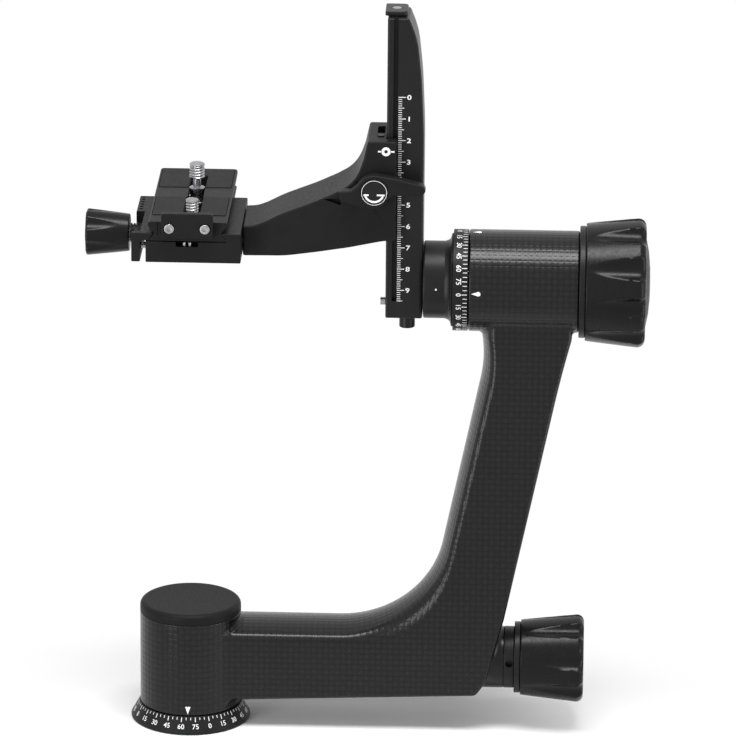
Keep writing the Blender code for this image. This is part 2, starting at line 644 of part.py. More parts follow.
tilt_knob = lobed_knob("tilt_knob", TILT_KNOB_SMALL, TILT_KNOB_BIG, TILT_KNOB_LENGTH, tilt_knob_x,
                       tilt_centre, TILT_KNOB_LOBES, CORE_RADIUS + GAP, TILT_SOCKET,
                       (CORE_RADIUS + COLLAR_WIDTH, 0), (END_CAP_RADIUS + GAP, END_CAP_SINK), RUBBER)
cap_x = tilt_knob_x + TILT_KNOB_LENGTH - END_CAP_SINK + GAP
CROWN_SHARES = ((0.0, 1.0), (0.45, 0.92), (0.8, 0.6), (1.0, 0.0))   # out and up, of the dome
cap_face_x = tilt_knob_x + TILT_KNOB_LENGTH
tilt_knob_cap = turned("tilt_knob_cap", [
    (0, cap_x), (END_CAP_RADIUS, cap_x),
    *[(END_CAP_RADIUS * out, cap_face_x + END_CAP_CROWN * up)
      for out, up in reversed(CROWN_SHARES)]], "X", tilt_centre, BLACK_ALLOY)


# Swing rail: a long bar with a T-shaped lip on its left, which the carriage grips. The scale is
# on its front face.
LIP_THICK = 2.8 * MM
GROOVE_WIDTH = 2.1 * MM
GROOVE_DEPTH = 2.7 * MM
GROOVE_FOOT = 8.0 * MM           # the groove stops this far above the rail's foot
RAIL_DROP = 15.4 * MM            # foot of the rail below the tilt axis
RAIL_TOP_WIDTH = 9.6 * MM
RAIL_EDGE = 1.0 * MM
TAPER_SHARES = ((0.62, 0.0), (0.8, 0.17), (0.93, 0.46), (1.0, 1.0))   # up and in, of the taper
BOLT_RISE = 11.6 * MM
BOLT_SIDE = 5.0 * MM
BOLT_HEAD_LIFT = 3.1 * MM        # rail bolt heads lie this deep below the lip face
RAIL_BOLT_REACH = 6.0 * MM
STOP_OVERHANG = 1.2 * MM
STOP_WIDTH = 10.0 * MM
STOP_DEPTH = 14.6 * MM
STOP_THICK = 2.0 * MM
STOP_SCREW_HEAD = 2.2 * MM
STOP_SCREW_SINK = 0.9 * MM
STOP_SCREW_BITE = 6.0 * MM
M2_SHANK = 1.0 * MM
PEG_RADIUS = 1.75 * MM
PEG_REACH = 2.3 * MM
PEG_RISE = 4.8 * MM
PEG_BITE = 5.0 * MM
STUD_HEAD_RADIUS = 3.55 * MM
STUD_HEAD = 6.8 * MM
STUD_BITE = 6.0 * MM
STUD_SHANK = 2.0 * MM
STUD_IN = 7.0 * MM               # from the scale side of the rail

rail_foot_z = TILT_Z - RAIL_DROP
rail_top_z = rail_foot_z + RAIL_LENGTH
lip_end_x = rail_x + LIP_THICK
groove_end_x = lip_end_x + GROOVE_WIDTH
rail_half = RAIL_DEPTH / 2
taper = RAIL_WIDTH - RAIL_TOP_WIDTH
swing_rail = prism("swing_rail", [
    (rail_x, rail_foot_z), (rail_end_x, rail_foot_z),
    *[(rail_end_x - taper * inward, rail_foot_z + RAIL_LENGTH * up) for up, inward in TAPER_SHARES],
    (rail_x, rail_top_z)], -rail_half, rail_half, BLACK_ALLOY)
soften(swing_rail, RAIL_EDGE)
for side in (-1, 1):
    outer, inner = sorted((side * (rail_half + OVERRUN), side * (rail_half - GROOVE_DEPTH)))
    combine(swing_rail, block(f"cut_groove_{side}", (lip_end_x, outer, rail_foot_z + GROOVE_FOOT),
                              (groove_end_x, inner, rail_top_z + OVERRUN)))
rail_bolts = []
for number, side in enumerate((-1, 1), 1):
    centre = (0, side * BOLT_SIDE, TILT_Z + side * BOLT_RISE)
    start = rail_x + BOLT_HEAD_LIFT
    seat = start + M3_HEAD_HEIGHT
    tip = flange_x + RAIL_BOLT_REACH
    rail_bolts.append(bolt(f"rail_bolt_{number}", M3_HEAD, M3_SHANK, start, seat, tip, "X", centre))
    hole = bolt(f"cut_rail_bolt_{number}", M3_HEAD + GAP, M3_SHANK + GAP, rail_x - OVERRUN,
                seat + GAP, tip + GAP, "X", centre, None)
    combine(swing_rail, hole)
    combine(tilt_flange, hole)

stop_x = rail_x - STOP_OVERHANG
stop_z = rail_top_z + GAP
stop_centre = (stop_x + STOP_WIDTH / 2, 0, 0)
rail_top_stop = block("rail_top_stop", (stop_x, -STOP_DEPTH / 2, stop_z),
                      (stop_x + STOP_WIDTH, STOP_DEPTH / 2, stop_z + STOP_THICK), BLACK_ALLOY)
stop_seat_z = stop_z + STOP_THICK - STOP_SCREW_SINK
rail_top_screw = bolt("rail_top_screw", STOP_SCREW_HEAD, M2_SHANK, stop_z + STOP_THICK, stop_seat_z,
                      rail_top_z - STOP_SCREW_BITE, "Z", stop_centre)
stop_hole = bolt("cut_stop_screw", STOP_SCREW_HEAD + GAP, M2_SHANK + GAP,
                 stop_z + STOP_THICK + OVERRUN, stop_seat_z - GAP,
                 rail_top_z - STOP_SCREW_BITE - GAP, "Z", stop_centre, None)
combine(rail_top_stop, stop_hole)
combine(swing_rail, stop_hole)

peg_centre = (0, 0, rail_foot_z + PEG_RISE)
rail_stop_screw = bolt("rail_stop_screw", PEG_RADIUS, M2_SHANK, rail_x - GAP - PEG_REACH,
                       rail_x - GAP, rail_x + PEG_BITE, "X", peg_centre)
combine(swing_rail, rod("cut_peg", M2_SHANK + GAP, rail_x - OVERRUN, rail_x + PEG_BITE + GAP, "X",
                        peg_centre))
stud_centre = (rail_end_x - STUD_IN, 0, 0)
stud_z = rail_foot_z - GAP
rail_bottom_stud = bolt("rail_bottom_stud", STUD_HEAD_RADIUS, STUD_SHANK, stud_z - STUD_HEAD,
                        stud_z, rail_foot_z + STUD_BITE, "Z", stud_centre, BLACK_ALLOY)
combine(swing_rail, rod("cut_stud", STUD_SHANK + GAP, rail_foot_z - OVERRUN,
                        rail_foot_z + STUD_BITE + GAP, "Z", stud_centre))


# Platform arm: the carriage grips the rail's lip, and its arm reaches left to the clamp over the
# pan axis. Outline points are given from the carriage's web and the clamp's foot.
WEB_THICK = 8.0 * MM
CARRIAGE_HEIGHT = 46.0 * MM
HOOK_THICK = 1.4 * MM
ARM_END_HEIGHT = 13.8 * MM
PLATFORM_EDGE = 0.8 * MM
UPPER_SHARES = ((0.0, 0.0), (0.09, 0.01), (0.17, 0.05), (0.31, 0.15), (0.57, 0.29),
                (0.76, 0.41), (0.87, 0.51), (0.93, 0.63), (0.965, 0.78), (1.0, 1.0))
LOWER_SHARES = ((0.0, 0.0), (0.30, 0.02), (0.52, 0.28), (0.75, 0.58), (1.0, 1.0))
SHAFT_DROP = 21.5 * MM           # lever shaft below the carriage's top
LEVER_SHAFT_RADIUS = 2.2 * MM
GIB_THICK = 2.0 * MM
GIB_DEPTH = 12.0 * MM
GIB_HEIGHT = 18.0 * MM
GIB_TRAVEL = 0.25 * MM
POCKET_WIDTH = 3.4 * MM
POCKET_LENGTH = 11.2 * MM
POCKET_DEPTH = 5.0 * MM
POCKET_Y = 3.9 * MM
POCKET_EDGE = 0.7 * MM
PIN_RADIUS = 1.5 * MM
PIN_Y = -6.6 * MM
PIN_SINK = 8.0 * MM
PIN_PROUD = 0.5 * MM

carriage_foot_z = carriage_top_z - CARRIAGE_HEIGHT
web_x = rail_x - GAP
carriage_x = web_x - WEB_THICK
hook_x = lip_end_x + GAP
hook_end_x = hook_x + HOOK_THICK
arm_end_x = clamp_right_x + GAP
arm_end_top_z = clamp_foot_z + ARM_END_HEIGHT
reach = carriage_x - arm_end_x
upper = [(arm_end_x + reach * along, arm_end_top_z + (carriage_top_z - arm_end_top_z) * up)
         for along, up in UPPER_SHARES]
lower = [(arm_end_x + (web_x - arm_end_x) * along,
          clamp_foot_z + (carriage_foot_z - clamp_foot_z) * up) for along, up in LOWER_SHARES]
carriage_half = CARRIAGE_DEPTH / 2
platform_arm = prism("platform_arm", [
    *lower, (hook_end_x, carriage_foot_z), (hook_end_x, carriage_top_z), *reversed(upper)],
    -carriage_half, carriage_half, BLACK_ALLOY)
soften(platform_arm, PLATFORM_EDGE)
combine(platform_arm, block("cut_lip_channel", (web_x, -rail_half - GAP, carriage_foot_z - OVERRUN),
                            (hook_x, rail_half + GAP, carriage_top_z + OVERRUN)))
neck_half = rail_half - GROOVE_DEPTH + GAP
combine(platform_arm, block("cut_neck_channel", (web_x, -neck_half, carriage_foot_z - OVERRUN),
                            (hook_end_x + OVERRUN, neck_half, carriage_top_z + OVERRUN)))
gib_x = rail_x - GAP - GIB_THICK
lever_x = gib_x - GAP - GIB_TRAVEL - LEVER_SHAFT_RADIUS
lever_z = carriage_top_z - SHAFT_DROP
gib_low_z = lever_z - GIB_HEIGHT / 2
rail_gib = block("rail_gib", (gib_x, -GIB_DEPTH / 2, gib_low_z),
                 (gib_x + GIB_THICK, GIB_DEPTH / 2, gib_low_z + GIB_HEIGHT), BRASS)
combine(platform_arm, block("cut_gib", (gib_x - GAP - GIB_TRAVEL, -GIB_DEPTH / 2 - GAP,
                                        gib_low_z - GAP),
                            (hook_x, GIB_DEPTH / 2 + GAP, gib_low_z + GIB_HEIGHT + GAP)))
pocket_end_x = web_x - POCKET_EDGE
combine(platform_arm, block("cut_pocket", (pocket_end_x - POCKET_WIDTH, POCKET_Y - POCKET_LENGTH / 2,
                                           carriage_top_z - POCKET_DEPTH),
                            (pocket_end_x, POCKET_Y + POCKET_LENGTH / 2, carriage_top_z + OVERRUN)))
pin_centre = (pocket_end_x - POCKET_WIDTH / 2, PIN_Y, 0)
carriage_pin = rod("carriage_pin", PIN_RADIUS, carriage_top_z - PIN_SINK, carriage_top_z + PIN_PROUD,
                   "Z", pin_centre, STEEL)
combine(platform_arm, rod("cut_pin", PIN_RADIUS + GAP, carriage_top_z - PIN_SINK - GAP,
                          carriage_top_z + OVERRUN, "Z", pin_centre))


# Lock lever: it turns on a shaft through the carriage, whose cam presses the brass gib on the
# rail's lip.
LEVER_THICK = 6.0 * MM
LEVER_BOSS = 7.7 * MM
LEVER_REACH = 23.2 * MM          # long arm, across the rail
LEVER_TAIL = 15.8 * MM
LEVER_EDGE = 0.8 * MM
LEVER_CAP_RADIUS = 6.0 * MM
LEVER_CAP_PROUD = 0.4 * MM
LEVER_CAP_SINK = 0.8 * MM
SHAFT_BACK = 12.0 * MM           # end of the lever shaft behind the middle plane
ARC_STEPS = 5
LONG_SHARES = ((0.42, 0.80), (0.93, 0.40), (1.0, 0.06), (0.90, -0.21), (0.40, -0.18),
               (0.25, -0.45))    # of the long arm, and of the boss radius upwards
TAIL_SHARES = ((0.53, -0.83), (0.96, -0.58), (1.0, 0.0), (0.66, 0.04), (0.49, 0.33))

front_y = -carriage_half - GAP
lever_front_y = front_y - LEVER_THICK
outline = [(lever_x + LEVER_REACH * along, lever_z + LEVER_BOSS * up) for along, up in LONG_SHARES]
for k in range(ARC_STEPS + 1):
    a = math.radians(-60 - 50 * k / ARC_STEPS)
    outline.append((lever_x + LEVER_BOSS * math.cos(a), lever_z + LEVER_BOSS * math.sin(a)))
outline += [(lever_x - LEVER_TAIL * along, lever_z + LEVER_BOSS * up) for along, up in TAIL_SHARES]
for k in range(ARC_STEPS + 1):
    a = math.radians(140 - 70 * k / ARC_STEPS)
    outline.append((lever_x + LEVER_BOSS * math.cos(a), lever_z + LEVER_BOSS * math.sin(a)))
lever_centre = (lever_x, 0, lever_z)
lock_lever = prism("lock_lever", outline, lever_front_y, front_y, BLACK_ALLOY)
soften(lock_lever, LEVER_EDGE)
cap_floor_y = lever_front_y + LEVER_CAP_SINK
lever_cap = rod("lever_cap", LEVER_CAP_RADIUS, lever_front_y - LEVER_CAP_PROUD, cap_floor_y - GAP,
                "Y", lever_centre, BLACK_ALLOY, SEGMENTS)
combine(lock_lever, rod("cut_lever_cap", LEVER_CAP_RADIUS + GAP, lever_front_y - OVERRUN,
                        cap_floor_y, "Y", lever_centre, steps=SEGMENTS))
combine(lock_lever, rod("cut_lever_bore", LEVER_SHAFT_RADIUS + GAP, lever_front_y - OVERRUN,
                        front_y + OVERRUN, "Y", lever_centre))
lever_shaft = rod("lever_shaft", LEVER_SHAFT_RADIUS, cap_floor_y, SHAFT_BACK, "Y", lever_centre,
                  STEEL)
combine(platform_arm, rod("cut_lever_shaft", LEVER_SHAFT_RADIUS + GAP, -carriage_half - OVERRUN,
                          SHAFT_BACK + GAP, "Y", lever_centre))


# Clamp: a body with a fixed jaw on the right and a moving jaw on the left, which the screw and
# its knob draw in. The jaws bear on the slopes of the plate's foot.
FLOOR_RISE = 9.8 * MM            # channel floor above the clamp's foot
JAW_LIP = 0.8 * MM               # jaw tops above the deepest line of the plate's V notch
PLATE_FOOT_LAND = 0.7 * MM
PLATE_SLOPE_RISE = 2.0 * MM
PLATE_NOTCH_LAND = 1.3 * MM
PLATE_THICK = 8.9 * MM
PLATE_TOP_LAND = 2.2 * MM
PLATE_CHAMFER = 0.6 * MM
BODY_OVERHANG = 1.2 * MM         # clamp body past the plate's foot, on the left
JAW_SPACE = 2.5 * MM             # between the body and the jaw's plate
JAW_PLATE = 3.9 * MM
JAW_TRAVEL = 4.0 * MM
JAW_FOOT_LIFT = 0.2 * MM
SCREW_RISE = 5.0 * MM            # clamp screw above the clamp's foot
CLAMP_SCREW_RADIUS = 2.5 * MM
CLAMP_SCREW_REACH = 26.0 * MM
CLAMP_EDGE = 0.5 * MM
PIN_SPREAD = 19.0 * MM
GUIDE_RADIUS = 1.5 * MM
GUIDE_REACH = 16.0 * MM
CLAMP_BOLT_SPREAD = 9.5 * MM
CLAMP_BOLT_BITE = 10.0 * MM
CLAMP_BOLT_COVER = 9.0 * MM
NOTCH_WIDTH = 10.0 * MM
NOTCH_DROP = 2.4 * MM
NOTCH_BACK = 5.0 * MM
NOTCH_X = 0.4 * MM
SAFETY_RADIUS = 0.7 * MM
SAFETY_SPACE = 2.5 * MM
SAFETY_PROUD = 1.7 * MM
SAFETY_SINK = 2.0 * MM
SAFETY_IN = 1.7 * MM             # behind the clamp's front face
RECESS_FRONT = 3.0 * MM          # end wall of the jaw's open front recess
RECESS_BACK = 4.8 * MM
RECESS_DEPTH = 5.4 * MM
BUSH_OUTER = 4.2 * MM
BUSH_REACH = 2.3 * MM
CLAMP_KNOB_SMALL = 8.4 * MM
CLAMP_KNOB_BIG = 10.7 * MM
CLAMP_KNOB_LENGTH = 19.6 * MM
CLAMP_KNOB_SOCKET = 12.0 * MM
CLAMP_KNOB_LOBES = (6, math.radians(143))

floor_top_z = clamp_foot_z + FLOOR_RISE
plate_z = floor_top_z + GAP
slope_z = plate_z + PLATE_FOOT_LAND
notch_z = slope_z + PLATE_SLOPE_RISE
jaw_top_z = notch_z + JAW_LIP
body_left_x = PLATE_X - foot_reach - BODY_OVERHANG
clamp_half = CLAMP_DEPTH / 2
screw_z = clamp_foot_z + SCREW_RISE
clamp_body = prism("clamp_body", [
    (body_left_x, clamp_foot_z), (clamp_right_x, clamp_foot_z), (clamp_right_x, jaw_top_z),
    (PLATE_X + tip_reach, jaw_top_z), (PLATE_X + tip_reach, notch_z),
    (PLATE_X + foot_reach, slope_z), (PLATE_X + foot_reach, floor_top_z),
    (body_left_x, floor_top_z)], -clamp_half, clamp_half, BLACK_ALLOY)
jaw_x = body_left_x - JAW_SPACE
jaw_out_x = jaw_x - JAW_PLATE
moving_jaw = prism("moving_jaw", [
    (jaw_out_x, clamp_foot_z + JAW_FOOT_LIFT), (jaw_x, clamp_foot_z + JAW_FOOT_LIFT),
    (jaw_x, plate_z), (PLATE_X - foot_reach, plate_z), (PLATE_X - foot_reach, slope_z),
    (PLATE_X - tip_reach, notch_z), (PLATE_X - tip_reach, jaw_top_z), (jaw_out_x, jaw_top_z)],
    -clamp_half, clamp_half, BLACK_ALLOY)
soften(clamp_body, CLAMP_EDGE)
soften(moving_jaw, CLAMP_EDGE)
notch_front = -clamp_half - OVERRUN
combine(clamp_body, block("cut_notch", (NOTCH_X - NOTCH_WIDTH / 2, notch_front,
                                        floor_top_z - NOTCH_DROP),
                          (NOTCH_X + NOTCH_WIDTH / 2, NOTCH_BACK - clamp_half,
                           floor_top_z + OVERRUN)))
safety_pins = []
for number, side in enumerate((-1, 1), 1):
    centre = (NOTCH_X + side * SAFETY_SPACE / 2, SAFETY_IN - clamp_half, 0)
    notch_floor = floor_top_z - NOTCH_DROP
    safety_pins.append(rod(f"safety_pin_{number}", SAFETY_RADIUS, notch_floor - SAFETY_SINK,
                           notch_floor + SAFETY_PROUD, "Z", centre, STEEL))
    combine(clamp_body, rod(f"cut_safety_{number}", SAFETY_RADIUS + GAP,
                            notch_floor - SAFETY_SINK - GAP, notch_floor + OVERRUN, "Z", centre))
combine(moving_jaw, block("cut_jaw_recess",
                          (jaw_out_x - OVERRUN, RECESS_FRONT - clamp_half, jaw_top_z - RECESS_DEPTH),
                          (jaw_x, RECESS_BACK, jaw_top_z + OVERRUN)))
screw_centre = (0, 0, screw_z)
clamp_bush_x = jaw_out_x - BUSH_REACH
clamp_knob_x = clamp_bush_x - GAP
clamp_neck_bush = ring("clamp_neck_bush", BUSH_OUTER, CLAMP_SCREW_RADIUS + GAP, clamp_bush_x,
                       jaw_out_x - GAP, "X", screw_centre, STEEL, SMALL_SEGMENTS)
screw_end_x = clamp_bush_x + CLAMP_SCREW_REACH
clamp_screw = rod("clamp_screw", CLAMP_SCREW_RADIUS, clamp_knob_x - CLAMP_KNOB_SOCKET, screw_end_x,
                  "X", screw_centre, STEEL)
combine(clamp_body, rod("cut_clamp_screw", CLAMP_SCREW_RADIUS + GAP, body_left_x - OVERRUN,
                        screw_end_x + GAP, "X", screw_centre))
combine(moving_jaw, rod("cut_jaw_screw", CLAMP_SCREW_RADIUS + GAP, jaw_out_x - OVERRUN,
                        jaw_x + OVERRUN, "X", screw_centre))
jaw_pins = []
for number, side in enumerate((-1, 1), 1):
    centre = (0, side * PIN_SPREAD, screw_z)
    pin_x = jaw_out_x + JAW_PLATE / 2
    jaw_pins.append(rod(f"jaw_pin_{number}", GUIDE_RADIUS, pin_x, pin_x + GUIDE_REACH, "X", centre,
                        STEEL))
    combine(moving_jaw, rod(f"cut_jaw_pin_{number}", GUIDE_RADIUS + GAP, pin_x - GAP,
                            jaw_x + OVERRUN, "X", centre))
    combine(clamp_body, rod(f"cut_guide_{number}", GUIDE_RADIUS + GAP, body_left_x - OVERRUN,
                            pin_x + GUIDE_REACH + GAP, "X", centre))
clamp_bolts = []
for number, side in enumerate((-1, 1), 1):
    centre = (0, side * CLAMP_BOLT_SPREAD, screw_z)
    seat = clamp_right_x - CLAMP_BOLT_COVER
    start = seat - M3_HEAD_HEIGHT
    tip = arm_end_x + CLAMP_BOLT_BITE
    clamp_bolts.append(bolt(f"clamp_bolt_{number}", M3_HEAD, M3_SHANK, start, seat, tip, "X",
                            centre))
    hole = bolt(f"cut_clamp_bolt_{number}", M3_HEAD + GAP, M3_SHANK + GAP, body_left_x - OVERRUN,
                seat + GAP, tip + GAP, "X", centre, None)
    combine(clamp_body, hole)
    combine(platform_arm, hole)
clamp_knob = lobed_knob("clamp_knob", CLAMP_KNOB_SMALL, CLAMP_KNOB_BIG, -CLAMP_KNOB_LENGTH,
                        clamp_knob_x, screw_centre, CLAMP_KNOB_LOBES, CLAMP_SCREW_RADIUS + GAP,
                        CLAMP_KNOB_SOCKET + GAP, (BUSH_OUTER, 0), (0, 0), RUBBER)


# Quick-release plate: a grooved bar with two rubber pads, a long slot with two camera screws on
# sliding washers, and an anti-twist bracket on its front end.
SLOT_OFFSET = 1.0 * MM           # slot to the right of the plate's centre line
SLOT_HALF = 3.6 * MM
SLOT_END = 12.0 * MM             # solid plate left at the back end
PAD_RIM = 1.3 * MM               # rubber left in front of the slot
PAD_THICK = 0.8 * MM
PAD_SINK = 0.5 * MM
PAD_EDGE = 1.2 * MM
PAD_FRONT_IN = 10.7 * MM         # bare ends and the bare band between the pads
PAD_BACK_IN = 0.8 * MM
PAD_SPACE = 15.8 * MM
PAD_LENGTH = 28.0 * MM           # of the front pad, and the rear one takes what is left
COUNTER_HALF = 6.6 * MM          # wider slot below, for the screw heads and washers
COUNTER_RISE = 4.6 * MM
SCREW_RADIUS = 3.17 * MM         # 1/4 inch
SCREW_HEAD_RADIUS = 5.6 * MM
SCREW_HEAD = 2.2 * MM
WASHER_RADIUS = 6.2 * MM
WASHER_THICK = 1.2 * MM
FRONT_PROUD = 8.7 * MM           # screw tips above the plate's top
REAR_PROUD = 12.5 * MM
FRONT_SCREW_IN = 18.5 * MM       # screws from the plate's front end
REAR_SCREW_IN = 52.9 * MM
WAIST_RADIUS = 2.4 * MM          # undercut between a screw's shank and its thread
WAIST_RISE = 2.4 * MM            # above the plate's top
WAIST_LENGTH = 2.4 * MM
BRACKET_WIDTH = 23.0 * MM
BRACKET_THICK = 3.6 * MM
BRACKET_HEIGHT = 11.6 * MM
BRACKET_DROP = 6.7 * MM          # bracket foot below the plate's top
BRACKET_SCREW_SPACE = 15.9 * MM
BRACKET_SCREW_DROP = 2.0 * MM
BRACKET_HEAD = 2.2 * MM
BRACKET_HEAD_PROUD = 0.8 * MM
BRACKET_BITE = 6.0 * MM

plate_top_z = plate_z + PLATE_THICK
upper_z = notch_z + PLATE_NOTCH_LAND
land_z = plate_top_z - PLATE_TOP_LAND
plate_front_y = PLATE_Y - PLATE_LENGTH / 2
plate_back_y = PLATE_Y + PLATE_LENGTH / 2
right_side = [(foot_half, plate_z), (foot_half, slope_z), (notch_half, notch_z),
              (notch_half, upper_z), (plate_half, land_z),
              (plate_half, plate_top_z - PLATE_CHAMFER), (plate_half - PLATE_CHAMFER, plate_top_z)]
profile = [(PLATE_X + x, z) for x, z in right_side]
profile += [(PLATE_X - x, z) for x, z in reversed(right_side)]
quick_release_plate = prism("quick_release_plate", profile, plate_front_y, plate_back_y,
                            BLACK_ALLOY)
slot_x = PLATE_X + SLOT_OFFSET
front_pad_y = plate_front_y + PAD_FRONT_IN
rear_pad_y = front_pad_y + PAD_LENGTH + PAD_SPACE
slot_front_y = front_pad_y + PAD_RIM
slot_back_y = plate_back_y - SLOT_END


def long_slot(name, half, low, high):
    """A slot cutter along the plate with square ends."""
    return block(name, (slot_x - half, slot_front_y, low), (slot_x + half, slot_back_y, high))


counter_z = plate_z + COUNTER_RISE
combine(quick_release_plate, long_slot("cut_slot", SLOT_HALF, plate_z - OVERRUN,
                                       plate_top_z + OVERRUN))
combine(quick_release_plate, long_slot("cut_counter", COUNTER_HALF, plate_z - OVERRUN, counter_z))
pads = []
for label, low_y, high_y in (("front", front_pad_y, front_pad_y + PAD_LENGTH),
                             ("rear", rear_pad_y, plate_back_y - PAD_BACK_IN)):
    pad_low = (PLATE_X - plate_half + PAD_EDGE, low_y, plate_top_z - PAD_SINK)
    pad_high = (PLATE_X + plate_half - PAD_EDGE, high_y, plate_top_z - PAD_SINK + PAD_THICK)
    pad = block(f"plate_pad_{label}", pad_low, pad_high, RUBBER)
    room = Vector((GAP, GAP, GAP))
    combine(quick_release_plate, block(f"cut_pad_{label}", Vector(pad_low) - room,
                                       Vector(pad_high) + room))
    combine(pad, long_slot(f"cut_pad_slot_{label}", SLOT_HALF + GAP, plate_z,
                           plate_top_z + OVERRUN))
    pads.append(pad)
head_z = plate_z + GAP
washer_z = head_z + SCREW_HEAD + GAP
waist_z = plate_top_z + WAIST_RISE
thread_z = waist_z + WAIST_LENGTH
camera_screws = []
for label, inset, proud in (("front", FRONT_SCREW_IN, FRONT_PROUD),
                            ("rear", REAR_SCREW_IN, REAR_PROUD)):
    centre = (slot_x, plate_front_y + inset, 0)
    screw = turned(f"camera_screw_{label}", [
        (0, head_z), (SCREW_HEAD_RADIUS, head_z), (SCREW_HEAD_RADIUS, head_z + SCREW_HEAD),
        (SCREW_RADIUS, head_z + SCREW_HEAD), (SCREW_RADIUS, waist_z), (WAIST_RADIUS, waist_z),
        (WAIST_RADIUS, thread_z), (SCREW_RADIUS, thread_z), (SCREW_RADIUS, plate_top_z + proud),
        (0, plate_top_z + proud)], "Z", centre, STEEL, SMALL_SEGMENTS)
    washer = ring(f"screw_washer_{label}", WASHER_RADIUS, SCREW_RADIUS + GAP, washer_z,
                  washer_z + WASHER_THICK, "Z", centre, STEEL, SMALL_SEGMENTS)
    camera_screws.append((label, centre, screw, washer))

bracket_back_y = plate_front_y - GAP
bracket_front_y = bracket_back_y - BRACKET_THICK
bracket_foot_z = plate_top_z - BRACKET_DROP
front_bracket = block("front_bracket", (PLATE_X - BRACKET_WIDTH / 2, bracket_front_y, bracket_foot_z),
                      (PLATE_X + BRACKET_WIDTH / 2, bracket_back_y,
                       bracket_foot_z + BRACKET_HEIGHT), BLACK_ALLOY)
soften(front_bracket, CLAMP_EDGE)
bracket_screws = []
for number, side in enumerate((-1, 1), 1):
    centre = (PLATE_X + side * BRACKET_SCREW_SPACE / 2, 0, plate_top_z - BRACKET_SCREW_DROP)
    start = bracket_front_y - BRACKET_HEAD_PROUD
    seat = bracket_front_y + BRACKET_HEAD_PROUD
    tip = plate_front_y + BRACKET_BITE
    bracket_screws.append(bolt(f"bracket_screw_{number}", BRACKET_HEAD, M2_SHANK, start, seat, tip,
                               "Y", centre))
    hole = bolt(f"cut_bracket_{number}", BRACKET_HEAD + GAP, M2_SHANK + GAP, start - OVERRUN,
                seat + GAP, tip + GAP, "Y", centre, None)
    combine(front_bracket, hole)
    combine(quick_release_plate, hole)


# Bodies: what moves together hangs on one empty, which stands on its joint's axis.
arm_carrier = carrier("pan_arm", (0, 0, 0), base_carrier)
attach(arm_carrier, arm_body, hub_sleeve, pan_bearing_lower, pan_bearing_upper, hub_cap,
       pan_neck_bush, barrel_sleeve, tilt_bearing_left, tilt_bearing_right)
pan_lock_carrier = carrier("pan_lock", (shoe_x, 0, pan_lock_z), arm_carrier)
attach(pan_lock_carrier, pan_lock_shoe, pan_lock_rod)
attach(carrier("pan_knob_turn", (pan_knob_x, 0, pan_lock_z), pan_lock_carrier), pan_knob,
       pan_knob_collar)
swing_carrier = carrier("swing_arm", (flange_x, 0, TILT_Z), arm_carrier)
attach(swing_carrier, tilt_flange, tilt_dial, tilt_spindle, swing_rail, rail_top_stop,
       rail_top_screw, rail_stop_screw, rail_bottom_stud, *rail_bolts)
tilt_lock_carrier = carrier("tilt_lock", (disc_x, 0, TILT_Z), arm_carrier)
attach(tilt_lock_carrier, tilt_friction_disc)
attach(carrier("tilt_knob_turn", (tilt_knob_x, 0, TILT_Z), tilt_lock_carrier), tilt_knob,
       tilt_knob_collar, tilt_knob_nut, tilt_knob_cap)
carriage_carrier = carrier("carriage", (rail_x, 0, carriage_foot_z), swing_carrier)
attach(carriage_carrier, platform_arm, carriage_pin, clamp_body, *clamp_bolts, *safety_pins)
attach(carrier("gib", (gib_x, 0, lever_z), carriage_carrier), rail_gib)
attach(carrier("lever", lever_centre, carriage_carrier), lock_lever, lever_cap, lever_shaft)
jaw_carrier = carrier("jaw", (jaw_x, 0, screw_z), carriage_carrier)
attach(jaw_carrier, moving_jaw, *jaw_pins)
attach(carrier("clamp_knob_turn", (clamp_knob_x, 0, screw_z), jaw_carrier), clamp_knob, clamp_screw,
       clamp_neck_bush)
plate_carrier = carrier("plate", (PLATE_X, PLATE_Y, plate_z), carriage_carrier)
attach(plate_carrier, quick_release_plate, front_bracket, *pads, *bracket_screws)
for label, (x, y, _), screw, washer in camera_screws:
    washer_carrier = carrier(f"{label}_washer", (x, y, washer_z), plate_carrier)
    attach(washer_carrier, washer)
    attach(carrier(f"{label}_screw_turn", (x, y, head_z), washer_carrier), screw)
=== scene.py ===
"""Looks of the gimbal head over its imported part: carbon arm, moulded knobs, anodised rail and clamp.

Metres in the shared frame, worked out from sizes in mm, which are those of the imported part. Each
section makes one piece of the real head, or a group of like pieces, in the order in which the head
is put together.
"""

import math

import bmesh
import bpy
import numpy as np
from mathutils import Matrix, Vector


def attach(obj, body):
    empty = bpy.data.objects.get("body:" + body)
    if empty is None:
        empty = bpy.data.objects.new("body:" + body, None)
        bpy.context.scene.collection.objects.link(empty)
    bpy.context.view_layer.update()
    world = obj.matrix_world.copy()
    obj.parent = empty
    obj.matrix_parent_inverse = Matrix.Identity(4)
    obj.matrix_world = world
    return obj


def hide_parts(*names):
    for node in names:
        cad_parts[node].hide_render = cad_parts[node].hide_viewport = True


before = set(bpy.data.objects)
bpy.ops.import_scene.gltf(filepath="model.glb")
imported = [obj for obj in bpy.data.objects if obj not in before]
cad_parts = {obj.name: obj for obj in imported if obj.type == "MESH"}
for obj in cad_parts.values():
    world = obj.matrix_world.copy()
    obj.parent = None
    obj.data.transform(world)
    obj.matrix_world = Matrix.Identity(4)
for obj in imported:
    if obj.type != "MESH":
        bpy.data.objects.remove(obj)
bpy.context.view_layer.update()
MM = 0.001  # sizes below are in mm, meshes in metres


